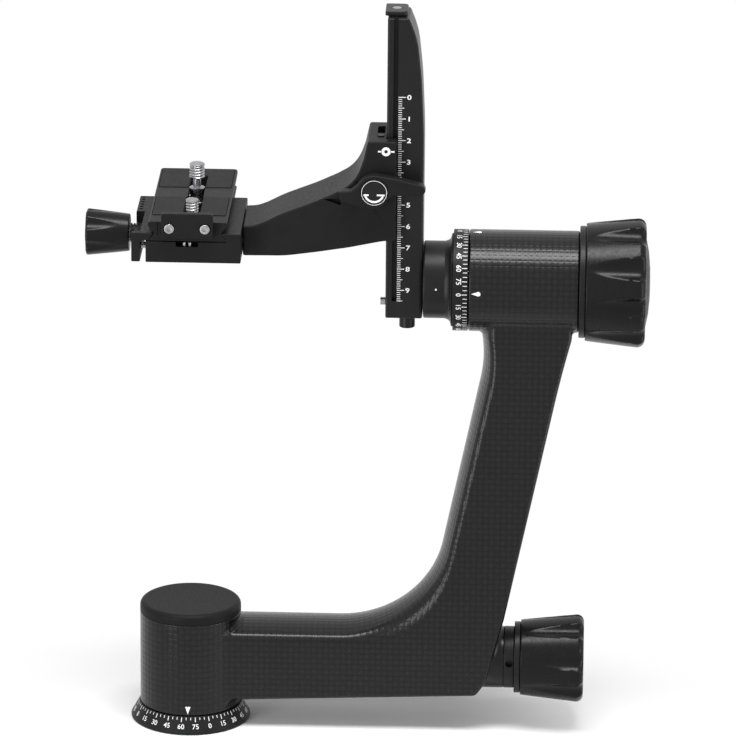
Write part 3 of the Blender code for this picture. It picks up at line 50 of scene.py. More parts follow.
# Base dial: an anodised aluminium disc, turned on a lathe. Its cone carries the printed pan scale,
# and two screws from below hold it to the steel pan spindle.
DIAL_FOOT = (27.4, 0.8)  # radius and height at the lower end of the cone
DIAL_RIM = (23.6, 7.5)
BASE_SCREWS = 12.2  # distance of the two screws from the pan axis
TOW = 2.68  # between neighbouring tows of the carbon cloth
TOWS_ROUND = 54  # tows round a tube
CRISP = 34  # degrees; an edge that turns further is not shaded smooth


def unit(vectors):
    """The vectors along the last axis, brought to length 1."""
    return vectors / np.maximum(np.linalg.norm(vectors, axis=-1, keepdims=True), 1e-12)


def swung(start, end, span, steps):
    """Rows of vectors that turn evenly from start to end, which stand span radians apart.

    Each is sin((1 - s) span) times the start plus sin(s span) times the end, over sin(span).
    """
    share = np.linspace(0, 1, steps)[:, None, None]
    return (np.sin((1 - share) * span) * start + np.sin(share * span) * end) / np.sin(span)


def eased(corners, steps=6):
    """Closed outline through (a, b, radius) corners, with an arc tangent to both sides at each.

    A short straight lead at both ends of each arc keeps the flat sides flat in the shading.
    """
    table = np.array(corners, float)
    here, radius = table[:, :2], table[:, 2:]
    back = unit(np.roll(here, 1, 0) - here)
    ahead = unit(np.roll(here, -1, 0) - here)
    half = np.arccos(np.clip((back * ahead).sum(1, keepdims=True), -1, 0.9999)) / 2
    span = np.maximum(np.pi - 2 * half, 1e-5)
    reach = radius / np.tan(half)
    centre = here + unit(back + ahead) * radius / np.sin(half)
    start, end = here + back * reach, here + ahead * reach
    arc = centre + swung(start - centre, end - centre, span, steps)
    lead = 0.15 * reach
    rows = np.concatenate([(start + back * lead)[None], arc, (end + ahead * lead)[None]])
    return rows.transpose(1, 0, 2).reshape(-1, 2)


def run_along(line):
    """Length of a line of points up to each of them."""
    return np.append(0, np.cumsum(np.linalg.norm(np.diff(line, axis=0), axis=1)))


def placed(name, data):
    """A new object in the scene that shows some data."""
    made = bpy.data.objects.new(name, data)
    bpy.context.scene.collection.objects.link(made)
    return made


def shaded(mesh, angle=CRISP):
    """Smooth shading that breaks at edges sharper than an angle."""
    mesh.shade_smooth()
    mesh.set_sharp_from_angle(angle=math.radians(angle))
    return mesh


def closed_mesh(name, points, faces, uv=None, angle=CRISP):
    """Object from arrays of points and faces, its seams and poles merged and its faces outward."""
    mesh = bpy.data.meshes.new(name)
    mesh.from_pydata((points.reshape(-1, 3) * MM).tolist(), [], faces)
    if uv is not None:
        corner = np.empty(len(mesh.loops), np.int32)
        mesh.loops.foreach_get("vertex_index", corner)
        layer = mesh.uv_layers.new(name="cloth")
        layer.data.foreach_set("uv", uv.reshape(-1, 2)[corner].astype(np.float32).ravel())
    bm = bmesh.new()
    bm.from_mesh(mesh)
    bmesh.ops.remove_doubles(bm, verts=bm.verts, dist=0.002 * MM)
    bmesh.ops.recalc_face_normals(bm, faces=bm.faces)
    bm.to_mesh(mesh)
    bm.free()
    return placed(name, shaded(mesh, angle))


def quads(rows, columns):
    """Faces between the neighbouring points of a grid that is stored row by row."""
    index = np.arange(rows * columns).reshape(rows, columns)
    corners = [index[:-1, :-1], index[:-1, 1:], index[1:, 1:], index[1:, :-1]]
    return np.stack(corners, -1).reshape(-1, 4).tolist()


def skin(name, grid, uv=None, angle=CRISP):
    """Object whose surface is one (rows, columns, 3) grid of points that closes on itself."""
    return closed_mesh(name, grid, quads(*grid.shape[:2]), uv, angle)


def around(radius, turn, along, axis="Z"):
    """Points at radius times (cos, sin) of an angle about an axis, and at a place along it."""
    u, v = radius * np.cos(turn), radius * np.sin(turn)
    w = along + 0 * u
    return np.stack({"Z": (u, v, w), "X": (w, u, v), "Y": (u, w, v)}[axis], -1)


def turned(name, corners, axis="Z", centre=(0, 0, 0), steps=96):
    """Outline of (radius, along, rounding) corners turned about an axis through centre.

    The UV counts tows of cloth: the angle's share of a round of them, and the outline's length.
    """
    line = eased(corners)
    line = np.vstack([line, line[:1]])
    turn = np.linspace(0, 2 * np.pi, steps + 1)
    grid = around(line[:, :1], turn, line[:, 1:], axis)
    uv = np.stack(np.broadcast_arrays(TOWS_ROUND * turn / (2 * np.pi),
                                      run_along(line)[:, None] / TOW), -1)
    return skin(name, grid + np.array(centre, float), uv)


def bored(bore, radius, start, end, bore_edge=0.1, edge=0.0):
    """Outline of a plain tube for turning, with the rounding of its inner and outer edges."""
    return [(bore, start, bore_edge), (radius, start, edge), (radius, end, edge),
            (bore, end, bore_edge)]


def cut(piece, tool):
    """Cut a tool's shape out of a piece's mesh for good, and take the tool away."""
    mod = piece.modifiers.new("work", "BOOLEAN")
    mod.operation = "DIFFERENCE"
    mod.solver = "EXACT"
    mod.object = tool
    graph = bpy.context.evaluated_depsgraph_get()
    mesh = bpy.data.meshes.new_from_object(piece.evaluated_get(graph))
    piece.modifiers.clear()
    piece.data = shaded(mesh)
    bpy.data.objects.remove(tool, do_unlink=True)


def rod(radius, start, end, axis="Z", centre=(0, 0, 0), steps=40):
    """A plain cylinder."""
    return turned("rod", bored(0, radius, start, end, 0), axis, centre, steps)


def drill(piece, holes, axis="Z", centre=(0, 0, 0), steps=40):
    """Cut holes, each (radius, start, end), along one axis through centre."""
    for radius, start, end in holes:
        cut(piece, rod(radius, start, end, axis, centre, steps))


def node(tree, kind, inputs, **settings):
    """A node with its settings, each input given a value or linked from another node's output."""
    made = tree.nodes.new("ShaderNode" + kind)
    for key, value in settings.items():
        setattr(made, key, value)
    for socket, value in dict(inputs).items():
        if isinstance(value, bpy.types.NodeSocket):
            tree.links.new(value, made.inputs[socket])
        else:
            made.inputs[socket].default_value = value
    return made


def calc(tree, kind, *values):
    """Result of a math node on numbers and outputs."""
    return node(tree, "Math", enumerate(values), operation=kind).outputs["Value"]


def fresh(name, color, roughness, metallic=0.0, specular=0.5):
    """A material with its node tree and main shader, and object coordinates to read."""
    mat = bpy.data.materials.new(name)
    mat.use_nodes = True
    tree = mat.node_tree
    shader = tree.nodes["Principled BSDF"]
    shader.inputs["Base Color"].default_value = (*color, 1)
    shader.inputs["Roughness"].default_value = roughness
    shader.inputs["Metallic"].default_value = metallic
    shader.inputs["Specular IOR Level"].default_value = specular
    return mat, tree, shader, node(tree, "TexCoord", {}).outputs["Object"]


def speckle(tree, place, scale, low, high, detail=3.0):
    """Noise at a number of cells per metre, spread from low to high."""
    noise = node(tree, "TexNoise", {"Vector": place, "Scale": scale, "Detail": detail})
    spread = node(tree, "MapRange", {"Value": noise.outputs["Fac"], "From Min": 0.3,
                                     "From Max": 0.7, "To Min": low, "To Max": high})
    return spread.outputs["Result"]


def relief(tree, shader, height, depth, strength):
    """Bump from a height of 0 to 1 that stands for depth in metres."""
    bump = node(tree, "Bump", {"Height": height, "Distance": depth, "Strength": strength})
    tree.links.new(bump.outputs["Normal"], shader.inputs["Normal"])


def tinted(tree, shader, color, amount):
    """The colour, made lighter and darker by an amount that runs about 1."""
    scale = node(tree, "VectorMath", {0: color, "Scale": amount}, operation="SCALE")
    tree.links.new(scale.outputs["Vector"], shader.inputs["Base Color"])


def mottled(name, color, roughness, tint, patch, metallic=0.0, specular=0.5):
    """A fresh material whose colour and roughness vary from place to place.

    Tint holds the cells per metre and the least and most share of the colour, and patch the cells
    per metre and the least and most that is added to the roughness.
    """
    mat, tree, shader, place = fresh(name, color, roughness, metallic, specular)
    tinted(tree, shader, color, speckle(tree, place, *tint))
    cells, least, most = patch
    tree.links.new(speckle(tree, place, cells, roughness + least, roughness + most),
                   shader.inputs["Roughness"])
    return mat, tree, shader, place


def anodised(name, color=(0.009, 0.009, 0.0092), roughness=0.36, ring_axis=None,
             centre=(0, 0, 0), specular=0.17):
    """Bead-blasted and anodised aluminium, with fine lathe rings where it was turned."""
    mat, tree, shader, place = mottled(name, color, roughness, (140, 0.9, 1.12),
                                       (900, -0.05, 0.06), specular=specular)
    grain = speckle(tree, place, 5200, 0.0, 1.0, 2.0)
    if ring_axis:
        about = node(tree, "Mapping", {"Vector": place, "Location": [-c * MM for c in centre]})
        rings = node(tree, "TexWave", {"Vector": about.outputs["Vector"], "Scale": 900,
                                       "Distortion": 0.4},
                     wave_type="RINGS", rings_direction=ring_axis)
        grain = calc(tree, "MULTIPLY_ADD", rings.outputs["Fac"], 0.5, grain)
    relief(tree, shader, grain, 0.006 * MM, 0.5)
    return mat


def dress(piece, body, mat, *stands_for, slot=None):
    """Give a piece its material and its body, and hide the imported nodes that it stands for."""
    piece.data.materials.clear()
    piece.data.materials.append(mat)
    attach(piece, body)
    if stands_for:
        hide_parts(*stands_for)


base = turned("base_dial", [
    (8.3, 0, 0.2), (DIAL_FOOT[0], 0, 0.3), (*DIAL_FOOT, 0.25), (*DIAL_RIM, 0.3),
    (15.3, DIAL_RIM[1], 0.1), (15.3, 3.9, 0), (8.3, 3.9, 0)], steps=160)
for side in (-1, 1):
    drill(base, [(2.8, -1, 2.4), (1.8, -1, 5)], centre=(0, side * BASE_SCREWS, 0))
dial_black = anodised("dial_black", (0.007, 0.007, 0.0072), 0.45, "Z")
dress(base, "base", dial_black, "base_plate", slot="black_alloy")


# Pan scale: white print on the dial's cone. Short strokes stand every 5 degrees at the upper edge,
# longer ones every 15, with the numbers 0 to 75 under them, four times round.
INK = 0.03  # thickness of print
PRINT_COLOR = (0.86, 0.86, 0.86)
PAN_ZERO = math.radians(-66.5)  # where a 0 stands on the pan dial
DIGITS = 2.3  # height of the numbers
STROKES = (0.0135, 0.0115)  # widths of long and short strokes in radians


def strokes(places, widths, lengths, steps):
    """Flat bars in (across, along, out), each centred on its place across, as points and faces.

    Each bar is a closed box with steps parts across, so that it can be bent round a dial.
    """
    share = np.linspace(-0.5, 0.5, steps + 1)
    across = np.array(places)[:, None] + np.array(widths)[:, None] * share
    low, high = np.array(lengths, float).T[:, :, None] + 0 * across
    zero = 0 * across
    ring = [(across, low, zero), (across, high, zero), (across, high, zero + INK),
            (across, low, zero + INK)]
    points = np.stack([np.stack(r, -1) for r in ring], 2)
    index = np.arange(points.size // 3).reshape(points.shape[:3])
    after = np.roll(index, -1, 2)
    sides = np.stack([index[:, :-1], index[:, 1:], after[:, 1:], after[:, :-1]], -1)
    faces = [sides[:, :, k].reshape(-1, 4) for k in range(4)]
    faces += [index[:, 0, ::-1], index[:, -1, :]]
    return points.reshape(-1, 3), np.concatenate(faces).tolist()


def taken_apart(mesh):
    """Points and faces of a mesh, which goes away with the object that shows it."""
    points = np.empty(len(mesh.vertices) * 3, np.float32)
    mesh.vertices.foreach_get("co", points)
    faces = [list(face.vertices) for face in mesh.polygons]
    bpy.data.meshes.remove(mesh)
    return points.reshape(-1, 3).astype(float), faces


def lettering(text, height, bold=0.01):
    """Points (right, up, out) and faces of a printed number, centred on the origin."""
    curve = bpy.data.curves.new("print", "FONT")
    curve.body = text
    curve.size = height * 1.38
    curve.align_x = "CENTER"
    curve.resolution_u = 3
    curve.extrude = INK / 2
    curve.offset = height * bold
    holder = placed("print", curve)
    graph = bpy.context.evaluated_depsgraph_get()
    points, faces = taken_apart(bpy.data.meshes.new_from_object(holder.evaluated_get(graph)))
    bpy.data.objects.remove(holder, do_unlink=True)
    points[:, 1] -= (points[:, 1].min() + points[:, 1].max()) / 2
    points[:, 2] += INK / 2
    return points, faces


def on_cone(flat, low, high, axis="Z", centre=(0, 0, 0)):
    """Bend (angle, up the slope, out) onto the cone between two (radius, height) rings."""
    (r0, z0), (r1, z1) = low, high
    slope = math.hypot(r1 - r0, z1 - z0)
    out = ((z1 - z0) / slope, -(r1 - r0) / slope)
    radius = r0 + (r1 - r0) / slope * flat[:, 1] + out[0] * flat[:, 2]
    along = z0 + (z1 - z0) / slope * flat[:, 1] + out[1] * flat[:, 2]
    return around(radius, flat[:, 0], along, axis) + np.array(centre)


def on_tube(flat, radius, start, centre):
    """Bend (angle, along, out) onto a tube about an X axis, from a start along it."""
    return on_cone(flat, (radius, start), (radius, start + 1), "X", centre)


def put(marks, surface, *where):
    """Marks with their points set on a surface."""
    return [(surface(points, *where), faces) for points, faces in marks]


def at_angle(mark, angle, radius):
    """A flat (across, up, out) mark read as (angle, up, out) on a radius, about an angle."""
    points, faces = mark
    points[:, 0] = angle + points[:, 0] / radius
    return points, faces


def degree_scale(zero, radius, numbers_at, long_from, short_from, end):
    """Marks of a dial in (angle, up, out), with a 0 at an angle and at every 90 degrees from it.

    Long and short strokes start at two places and reach to one end, and the numbers stand below.
    """
    fives = np.arange(72)
    tall = fives % 3 == 0
    marks = [strokes(zero + np.radians(5 * fives), np.where(tall, *STROKES),
                     [(long_from if t else short_from, end) for t in tall], 2)]
    for k in range(24):
        number = lettering(str(15 * k % 90), DIGITS)
        number[0][:, 1] += numbers_at
        marks.append(at_angle(number, zero + math.radians(15 * k), radius))
    return marks


def printed(name, body, marks):
    """One white piece of all marks, each the points in their places and the faces."""
    start = np.cumsum([0] + [len(points) for points, _ in marks]).tolist()
    faces = [[v + first for v in face]
             for first, (_, some) in zip(start, marks) for face in some]
    points = np.concatenate([points for points, _ in marks])
    dress(closed_mesh(name, points, faces), body, white)


white, tree, shader, place = fresh("white_print", PRINT_COLOR, 0.55)
tinted(tree, shader, PRINT_COLOR, speckle(tree, place, 2500, 0.9, 1.03))
relief(tree, shader, speckle(tree, place, 6000, 0.0, 1.0), 0.01 * MM, 0.4)
slant = math.dist(DIAL_FOOT, DIAL_RIM)
marks = degree_scale(PAN_ZERO, 25.6, 0.40 * slant, 0.68 * slant, 0.80 * slant, 0.955 * slant)
printed("pan_scale", "base", put(marks, on_cone, DIAL_FOOT, DIAL_RIM))


# Carbon arm: hub tube, lower arm, post and barrel are one hollow moulding of woven carbon in clear
# resin, with walls of 3 mm. The lower arm and the post run into the two tubes by soft fillets.
HALF_DEPTH = 16.3  # from the arm's middle to its front and back
CORNER = np.array([68.5, 96.7])  # centre of the inner corner's curve, x and z
CORNER_RADIUS = 48.0
CROWN = 4.2  # how much the inner side falls from its middle to its edges
EDGES = (2.4, 2.2)  # rounding along the inner and outer side
EDGE_SWELL = 3.4  # how much rounder the inner edges are in the corner
UNDERSIDE = 12.2  # height of the lower arm's underside at the pan axis
HEEL_X = (131.7, 136.2, 144.3)  # corners of the heel's faces under and behind
HEEL_Z = (17.2, 23.5, 55.0)
LEAN = math.radians(11.6)
SLOPE = math.tan(LEAN)
FLARE = (166.0, 189.5)  # heights between which the post widens to the barrel
FLARE_X = (131.9, 172.8)  # where its inner and outer line end
LAG = 7.0  # how far the outer points on the post lie below the inner
LAG_UNTIL = 110  # height from which that shrinks to nothing at the barrel
POST_TOP = 206  # where the two lines end, inside the barrel
AXIS_Z = 212.5  # of the barrel
BARREL = 23.0  # radius of the barrel
TUBE = 23.2  # radius of the hub
WALL = 3.0
SINK = 1.6  # how deep the arm's ends stand in the tube walls
HUB_BALL = (8, 2.5, 3.6)  # fillet radii in front and behind, above, below
BARREL_BALL = (5, 2.6, 2.2)  # the same in front and behind, inside, outside
LOCK_Z = 31.2  # height of the pan lock's axis
LOCK_BORE = 5.3
BUSH = 14.2  # radius of the neck and of the bush that ends it
NECK_REACH, NECK_LENGTH = 2.0, 5.0  # how far the neck's fillet spreads, and how long it is
NECK_ROOM = 15.0  # how far it may reach towards the arm's front and back
CARBON = (0.011, 0.011, 0.0112)
tilt_axis = (0, 0, AXIS_Z)
lock_axis = (0, 0, LOCK_Z)


def arm_lines():
    """Inner and outer line of the arm as matching (x, z) points from the pan axis to the barrel.

    The lines run level to the corner, where rays from its centre pair them, and on up the leaning
    post. Below the barrel both bend outward as the square of the height in the flare.
    """
    level = np.linspace(0, CORNER[0], 70)
    inner = [np.stack([level, 0 * level + CORNER[1] - CORNER_RADIUS], 1)]
    rise = (HEEL_Z[0] - UNDERSIDE) / HEEL_X[0]
    outer = [np.stack([level, UNDERSIDE + level * rise], 1)]
    heel = eased([(-40, 10.68, 0), *zip(HEEL_X, HEEL_Z, (2.5, 6, 14)),
                  (HEEL_X[2] + 120 * SLOPE, 175, 0), (60, 175, 0)], 14)[:-16]
    share = run_along(heel)
    dense = np.linspace(0, share[-1], 4000)
    line = np.stack([np.interp(dense, share, heel[:, k]) for k in (0, 1)], 1)
    line = line[line[:, 0] > CORNER[0]]
    bearing = np.arctan2(line[:, 1] - CORNER[1], line[:, 0] - CORNER[0])
    angle = np.linspace(-np.pi / 2, -LEAN, 150)[1:]
    inner.append(CORNER + CORNER_RADIUS * np.stack([np.cos(angle), np.sin(angle)], 1))
    outer.append(np.stack([np.interp(angle, bearing, line[:, k]) for k in (0, 1)], 1))
    start = inner[-1][-1]
    z = np.linspace(start[1], POST_TOP, 110)[1:]
    flare = np.clip((z - FLARE[0]) / (FLARE[1] - FLARE[0]), 0, 1) ** 2
    low = z - LAG * (1 - np.clip((z - LAG_UNTIL) / (FLARE[1] - LAG_UNTIL), 0, 1) ** 4)
    left, left_end = [start[0] + (height - start[1]) * SLOPE
                      for height in (np.minimum(z, FLARE[1]), FLARE[1])]
    right, right_end = [HEEL_X[2] + (height - HEEL_Z[2]) * SLOPE
                        for height in (np.minimum(low, FLARE[1]), FLARE[1])]
    inner.append(np.stack([left - (left_end - FLARE_X[0]) * flare, z], 1))
    outer.append(np.stack([right + (FLARE_X[1] - right_end) * flare, low], 1))
    return np.concatenate(inner), np.concatenate(outer)


def section_table():
    """Places round the arm's section, as share across, share of the depth, angle and face.

    Each of the four faces runs from the middle of one rounded corner to the middle of the next, so
    that the cloth's pattern can part there.
    """
    turn = np.concatenate([np.linspace(-45, 0, 7), np.zeros(12), np.linspace(0, 45, 7)])
    step = 0.5 - 0.5 * np.cos(np.linspace(0, np.pi, 14))
    move = np.concatenate([np.zeros(7), step[1:-1], np.ones(7)])
    faces = [(180, (0, 1), (0, -1)), (270, (0, -1), (1, -1)), (360, (1, -1), (1, 1)),
             (450, (1, 1), (0, 1))]
    rows = [np.stack([f0 + (f1 - f0) * move, g0 + (g1 - g0) * move,
                      np.radians(angle + turn), 0 * turn + number], 1)
            for number, (angle, (f0, g0), (f1, g1)) in enumerate(faces)]
    return np.concatenate(rows)


def arm_surface(inner, outer, inset):
    """Grid of points of the arm at an inset from its skin: rounded rectangles between the lines.

    The inner side is crowned: it falls away from its middle as the square of the share of depth.
    """
    f, g, theta = section_table()[:, :3].T
    across = outer - inner
    width = np.linalg.norm(across, axis=1)[:, None]
    across /= width
    away = np.arctan2(inner[:, 1] - CORNER[1], inner[:, 0] - CORNER[0])[:, None]
    swell = np.clip(np.sin(np.clip((away + np.pi / 2) / (np.pi / 2 - LEAN), 0, 1) * np.pi), 0, 1)
    round_in = EDGES[0] + EDGE_SWELL * swell ** 2 * (inner[:, 1:] < CORNER[1])
    radius = np.maximum(round_in * (1 - f) + EDGES[1] * f - inset, 0.8)
    low = inset + radius
    p = low * (1 - f) + (width - inset - radius) * f + radius * np.cos(theta)
    q = g * (HALF_DEPTH - inset - radius) + radius * np.sin(theta)
    p += (1 - f) * CROWN * (q / HALF_DEPTH) ** 2
    return np.stack([inner[:, :1] + across[:, :1] * p, q, inner[:, 1:] + across[:, 1:] * p], -1)


def outward(grid):
    """Unit normals of a grid of points, from its differences along and round."""
    along = np.gradient(grid, axis=0)
    closed = np.concatenate([grid[:, -2:-1], grid, grid[:, 1:2]], 1)
    normal = unit(np.cross(along, closed[:, 2:] - closed[:, :-2]))
    inside_out = ((grid - grid.mean(1, keepdims=True)) * normal).sum() < 0
    return -normal if inside_out else normal


def crossing(value):
    """Fractional row of each column where a value that falls or rises first passes zero."""
    up = value[0] < 0
    passed = np.where(up, value > 0, value < 0)
    row = np.maximum(passed.argmax(0), 1)
    column = np.arange(value.shape[1])
    one, two = value[row - 1, column], value[row, column]
    return row - 1 + one / np.where(one == two, 1, one - two)


def sampled(grid, place):
    """Values of a grid at fractional rows, one row of places for each row of the result."""
    low = np.clip(np.floor(place).astype(int), 0, len(grid) - 2)
    share = place - low
    column = np.arange(grid.shape[1])
    if grid.ndim == 3:
        share = share[..., None]
    return grid[low, column] * (1 - share) + grid[low + 1, column] * share


def from_axis(points, tube):
    """Vectors to the points from the pan axis, or from the barrel's axis."""
    keep = (1, 1, 0) if tube == "hub" else (0, 1, 1)
    return (points - np.array([0, 0, AXIS_Z])) * keep


def fillet(grid, normal, tube, ball):
    """Rows of a ball's arc where it rolls between the arm and a tube, and where it leaves the arm.

    The ball touches the arm where its centre, one ball radius off the skin, is as far from the
    tube's axis as both radii together. The arc turns from there to the tube's own surface.
    """
    radius = TUBE if tube == "hub" else BARREL
    centres = grid + ball[None, :, None] * normal
    apart = np.linalg.norm(from_axis(centres, tube), axis=2) - radius - ball
    if tube == "hub":
        place = crossing(apart)
    else:
        place = len(grid) - 1 - crossing(apart[::-1])
    touch, centre = sampled(grid, place[None])[0], sampled(centres, place[None])[0]
    start = unit(touch - centre)
    end = -unit(from_axis(centre, tube))
    span = np.arccos(np.clip((start * end).sum(1), -0.999, 0.9999))[:, None]
    arc = centre + ball[:, None] * swung(start, end, span, 19)
    buried = arc[-1] - SINK * from_axis(arc[-1], tube) / radius
    return place, np.concatenate([arc, buried[None]])


def carbon_arm():
    """The L-shaped arm as a closed hollow skin in mm, with its cloth coordinates in mm too."""
    inner, outer = arm_lines()
    table = section_table()
    theta = table[:, 2]
    side, flat = np.abs(np.sin(theta)), np.abs(np.cos(theta))
    upper = np.cos(theta) < 0
    hub_ball, barrel_ball = [beside * side ** 2 + np.where(upper, above, below) * flat ** 2
                             for beside, above, below in (HUB_BALL, BARREL_BALL)]
    grid = arm_surface(inner, outer, 0)
    normal = outward(grid)
    first, hub_arc = fillet(grid, normal, "hub", hub_ball)
    last, barrel_arc = fillet(grid, normal, "barrel", barrel_ball)
    share = np.linspace(0, 1, 230)[:, None]
    place = first + (last - first) * share
    outside = np.concatenate([hub_arc[::-1], sampled(grid, place)[1:-1], barrel_arc])
    lining = arm_surface(inner, outer, WALL)
    hub_gap = TUBE - SINK - np.linalg.norm(from_axis(lining, "hub"), axis=2)
    barrel_gap = BARREL - SINK - np.linalg.norm(from_axis(lining, "barrel"), axis=2)
    begin = crossing(-hub_gap)
    finish = len(lining) - 1 - crossing(-barrel_gap[::-1])
    inside = sampled(lining, begin + (finish - begin) * share[::6])
    whole = np.concatenate([outside, inside[::-1], outside[:1]])
    length = np.where(upper, run_along(inner)[:, None], run_along(outer)[:, None])
    lead = np.linspace(-1, 0, len(hub_arc))[:, None] * 1.4 * hub_ball
    tail = np.linspace(0, 1, len(barrel_arc))[:, None] * 1.4 * barrel_ball
    run = np.concatenate([sampled(length, first[None]) + lead, sampled(length, place)[1:-1],
                          sampled(length, last[None]) + tail])
    run = np.concatenate([run, sampled(length, place[::-6]), run[:1]])
    planar = table[:, 3] % 2 == 1
    uv = np.where(planar[None, :, None], whole[..., [0, 2]],
                  np.stack([whole[..., 1], run], -1))
    return whole, uv


def neck_surface(steps=96):
    """Neck about the pan lock's rod: a bored tube whose foot spreads over the heel's slanted face.

    The fillet is a quarter ellipse about the rod's axis. Its reach shrinks towards the arm's front
    and back, its length shrinks towards the top, and it fades out underneath.
    """
    theta = np.linspace(0, 2 * np.pi, steps + 1)
    up, beside = np.sin(theta), np.abs(np.cos(theta))
    shown = np.clip((up + 0.6) / 0.4, 0, 1)
    wide = np.minimum(NECK_REACH, NECK_ROOM / np.maximum(beside, 0.1) - BUSH)
    wide = wide * shown ** 2 * (3 - 2 * shown)
    long = NECK_LENGTH - 3.2 * np.maximum(up, 0) ** 2
    face = np.interp(LOCK_Z + (BUSH + wide) * up, HEEL_Z, HEEL_X) - 0.4
    s = np.linspace(0, np.pi / 2, 9)[:, None]
    root, end = 129.0, 144.2
    rows = [(LOCK_BORE, root), (13.0 + wide, root),
            *zip(BUSH + wide * (1 - np.sin(s)), face + long * (1 - np.cos(s))),
            (BUSH, end - 0.5), (BUSH - 0.15, end - 0.15), (BUSH - 0.5, end), (LOCK_BORE, end),
            (LOCK_BORE, root)]
    return np.stack([around(radius, theta, along, "X") for radius, along in rows]) + lock_axis


def joined(name, parts):
    """One object from the meshes of several, which go away."""
    bm = bmesh.new()
    for part in parts:
        bm.from_mesh(part.data)
        bpy.data.objects.remove(part, do_unlink=True)
    mesh = bpy.data.meshes.new(name)
    bm.to_mesh(mesh)
    bm.free()
    return placed(name, shaded(mesh))


def woven():
    """Carbon cloth in satin resin: painted shade in the tows' gaps, painted sheen on every second tow.

    The cloth's UV counts tows, so a sine of half a turn per tow rises once over each.
    """
    mat, tree, shader, place = fresh("carbon_cloth", CARBON, 0.24, 0.0, 0.26)
    cloth = node(tree, "UVMap", {}, uv_map="cloth").outputs["UV"]
    tows = node(tree, "SeparateXYZ", {"Vector": cloth}).outputs
    crests = [calc(tree, "POWER", calc(tree, "ABSOLUTE", calc(tree, "SINE", calc(
        tree, "MULTIPLY", tows[part], math.pi))), 0.6) for part in ("X", "Y")]
    pillow = calc(tree, "MULTIPLY", *crests)
    whole = calc(tree, "ADD", *[calc(tree, "FLOOR", tows[part]) for part in ("X", "Y")])
    over = calc(tree, "FRACT", calc(tree, "MULTIPLY", whole, 0.5))
    # painted light: crests lighter than the gaps as shade in the grooves, every second tow lighter as
    # sheen
    shade = calc(tree, "ADD", calc(tree, "MULTIPLY", pillow, 0.6),
                 calc(tree, "MULTIPLY", over, 0.2))
    mist = speckle(tree, place, 60, 0.9, 1.1)
    tinted(tree, shader, CARBON, calc(tree, "MULTIPLY", calc(tree, "ADD", shade, 0.1), mist))
    threads = speckle(tree, place, 3500, 0.0, 0.12)
    relief(tree, shader, calc(tree, "ADD", pillow, threads), 0.09 * MM, 0.85)
    tree.links.new(speckle(tree, place, 500, 0.2, 0.28), shader.inputs["Roughness"])
    return mat


points, cloth = carbon_arm()
shell = skin("carbon_arm", points, cloth / TOW, 40)
hub_tube = turned("hub_tube", bored(20.2, TUBE, 7.8, 51.7, 0.3, 0.5), steps=160)
barrel_tube = turned("barrel_tube", bored(20, BARREL, 126, 175.6, 0.3, 0.9), "X", tilt_axis, 160)
drill(shell, [(LOCK_BORE, 60, 150)], "X", lock_axis)
drill(hub_tube, [(LOCK_BORE, 12, 30)], "X", lock_axis)
neck = skin("neck", neck_surface())
dress(joined("carbon_arm_shell", [shell, hub_tube, barrel_tube, neck]), "pan_arm", woven(),
      "arm_body", slot="carbon")


# Index marks: a white triangle on the hub points down at the pan scale, and white teardrops on the
# barrel point at the tilt scale from the front and from the top.
def flat_shape(outline):
    """Points and faces of a printed shape with an outline of (across, up) points."""
    line = np.array(outline, float)
    count = len(line)
    points = np.concatenate([np.column_stack([line, np.zeros(count)]),
                             np.column_stack([line, np.full(count, INK)])])
    sides = [[k, (k + 1) % count, count + (k + 1) % count, count + k] for k in range(count)]
    return points, [list(range(count))[::-1], list(range(count, 2 * count)), *sides]


pointer = at_angle(flat_shape([(0, -1.9), (1.25, 1.9), (-1.25, 1.9)]), math.radians(-89.8), TUBE)
turn = np.radians(np.linspace(50, 310, 22))
drop = np.vstack([(0, -2.35), np.column_stack([1.05 * np.sin(turn), 0.85 - 1.05 * np.cos(turn)])])
drops = [at_angle(flat_shape(drop), math.radians(angle), BARREL) for angle in (178.7, 93.5)]
printed("index_marks", "pan_arm", put([pointer], on_cone, (TUBE, 10.4), (TUBE, 11.4))
        + put(drops, on_tube, BARREL, 129.6, tilt_axis))


# Hub cap: a turned aluminium lid, bead-blasted, that closes the hub above the bearings.
cap = turned("hub_lid", [
    (0, 56.5, 0), (TUBE, 56.5, 2.3), (TUBE, 51.75, 0.2), (13.9, 51.75, 0.2), (13.9, 49.4, 0.2),
    (11.9, 49.4, 0.2), (11.9, 54.3, 0.2), (0, 54.3, 0)], steps=160)
cap_black = anodised("cap_black", (0.008, 0.008, 0.0082), 0.5, "Z", specular=0.1)
dress(cap, "pan_arm", cap_black, "hub_cap", slot="black_alloy")


# Pan lock: a bush with a set screw ends the neck. Behind a thin collar ring sits the knob, moulded
# in hard rubber with finger grooves that deepen towards its big end.
GROOVE = 0.13  # depth at the big end as a share of its radius
GROOVE_EDGE = 0.5  # width of the rounding where a groove meets the cone


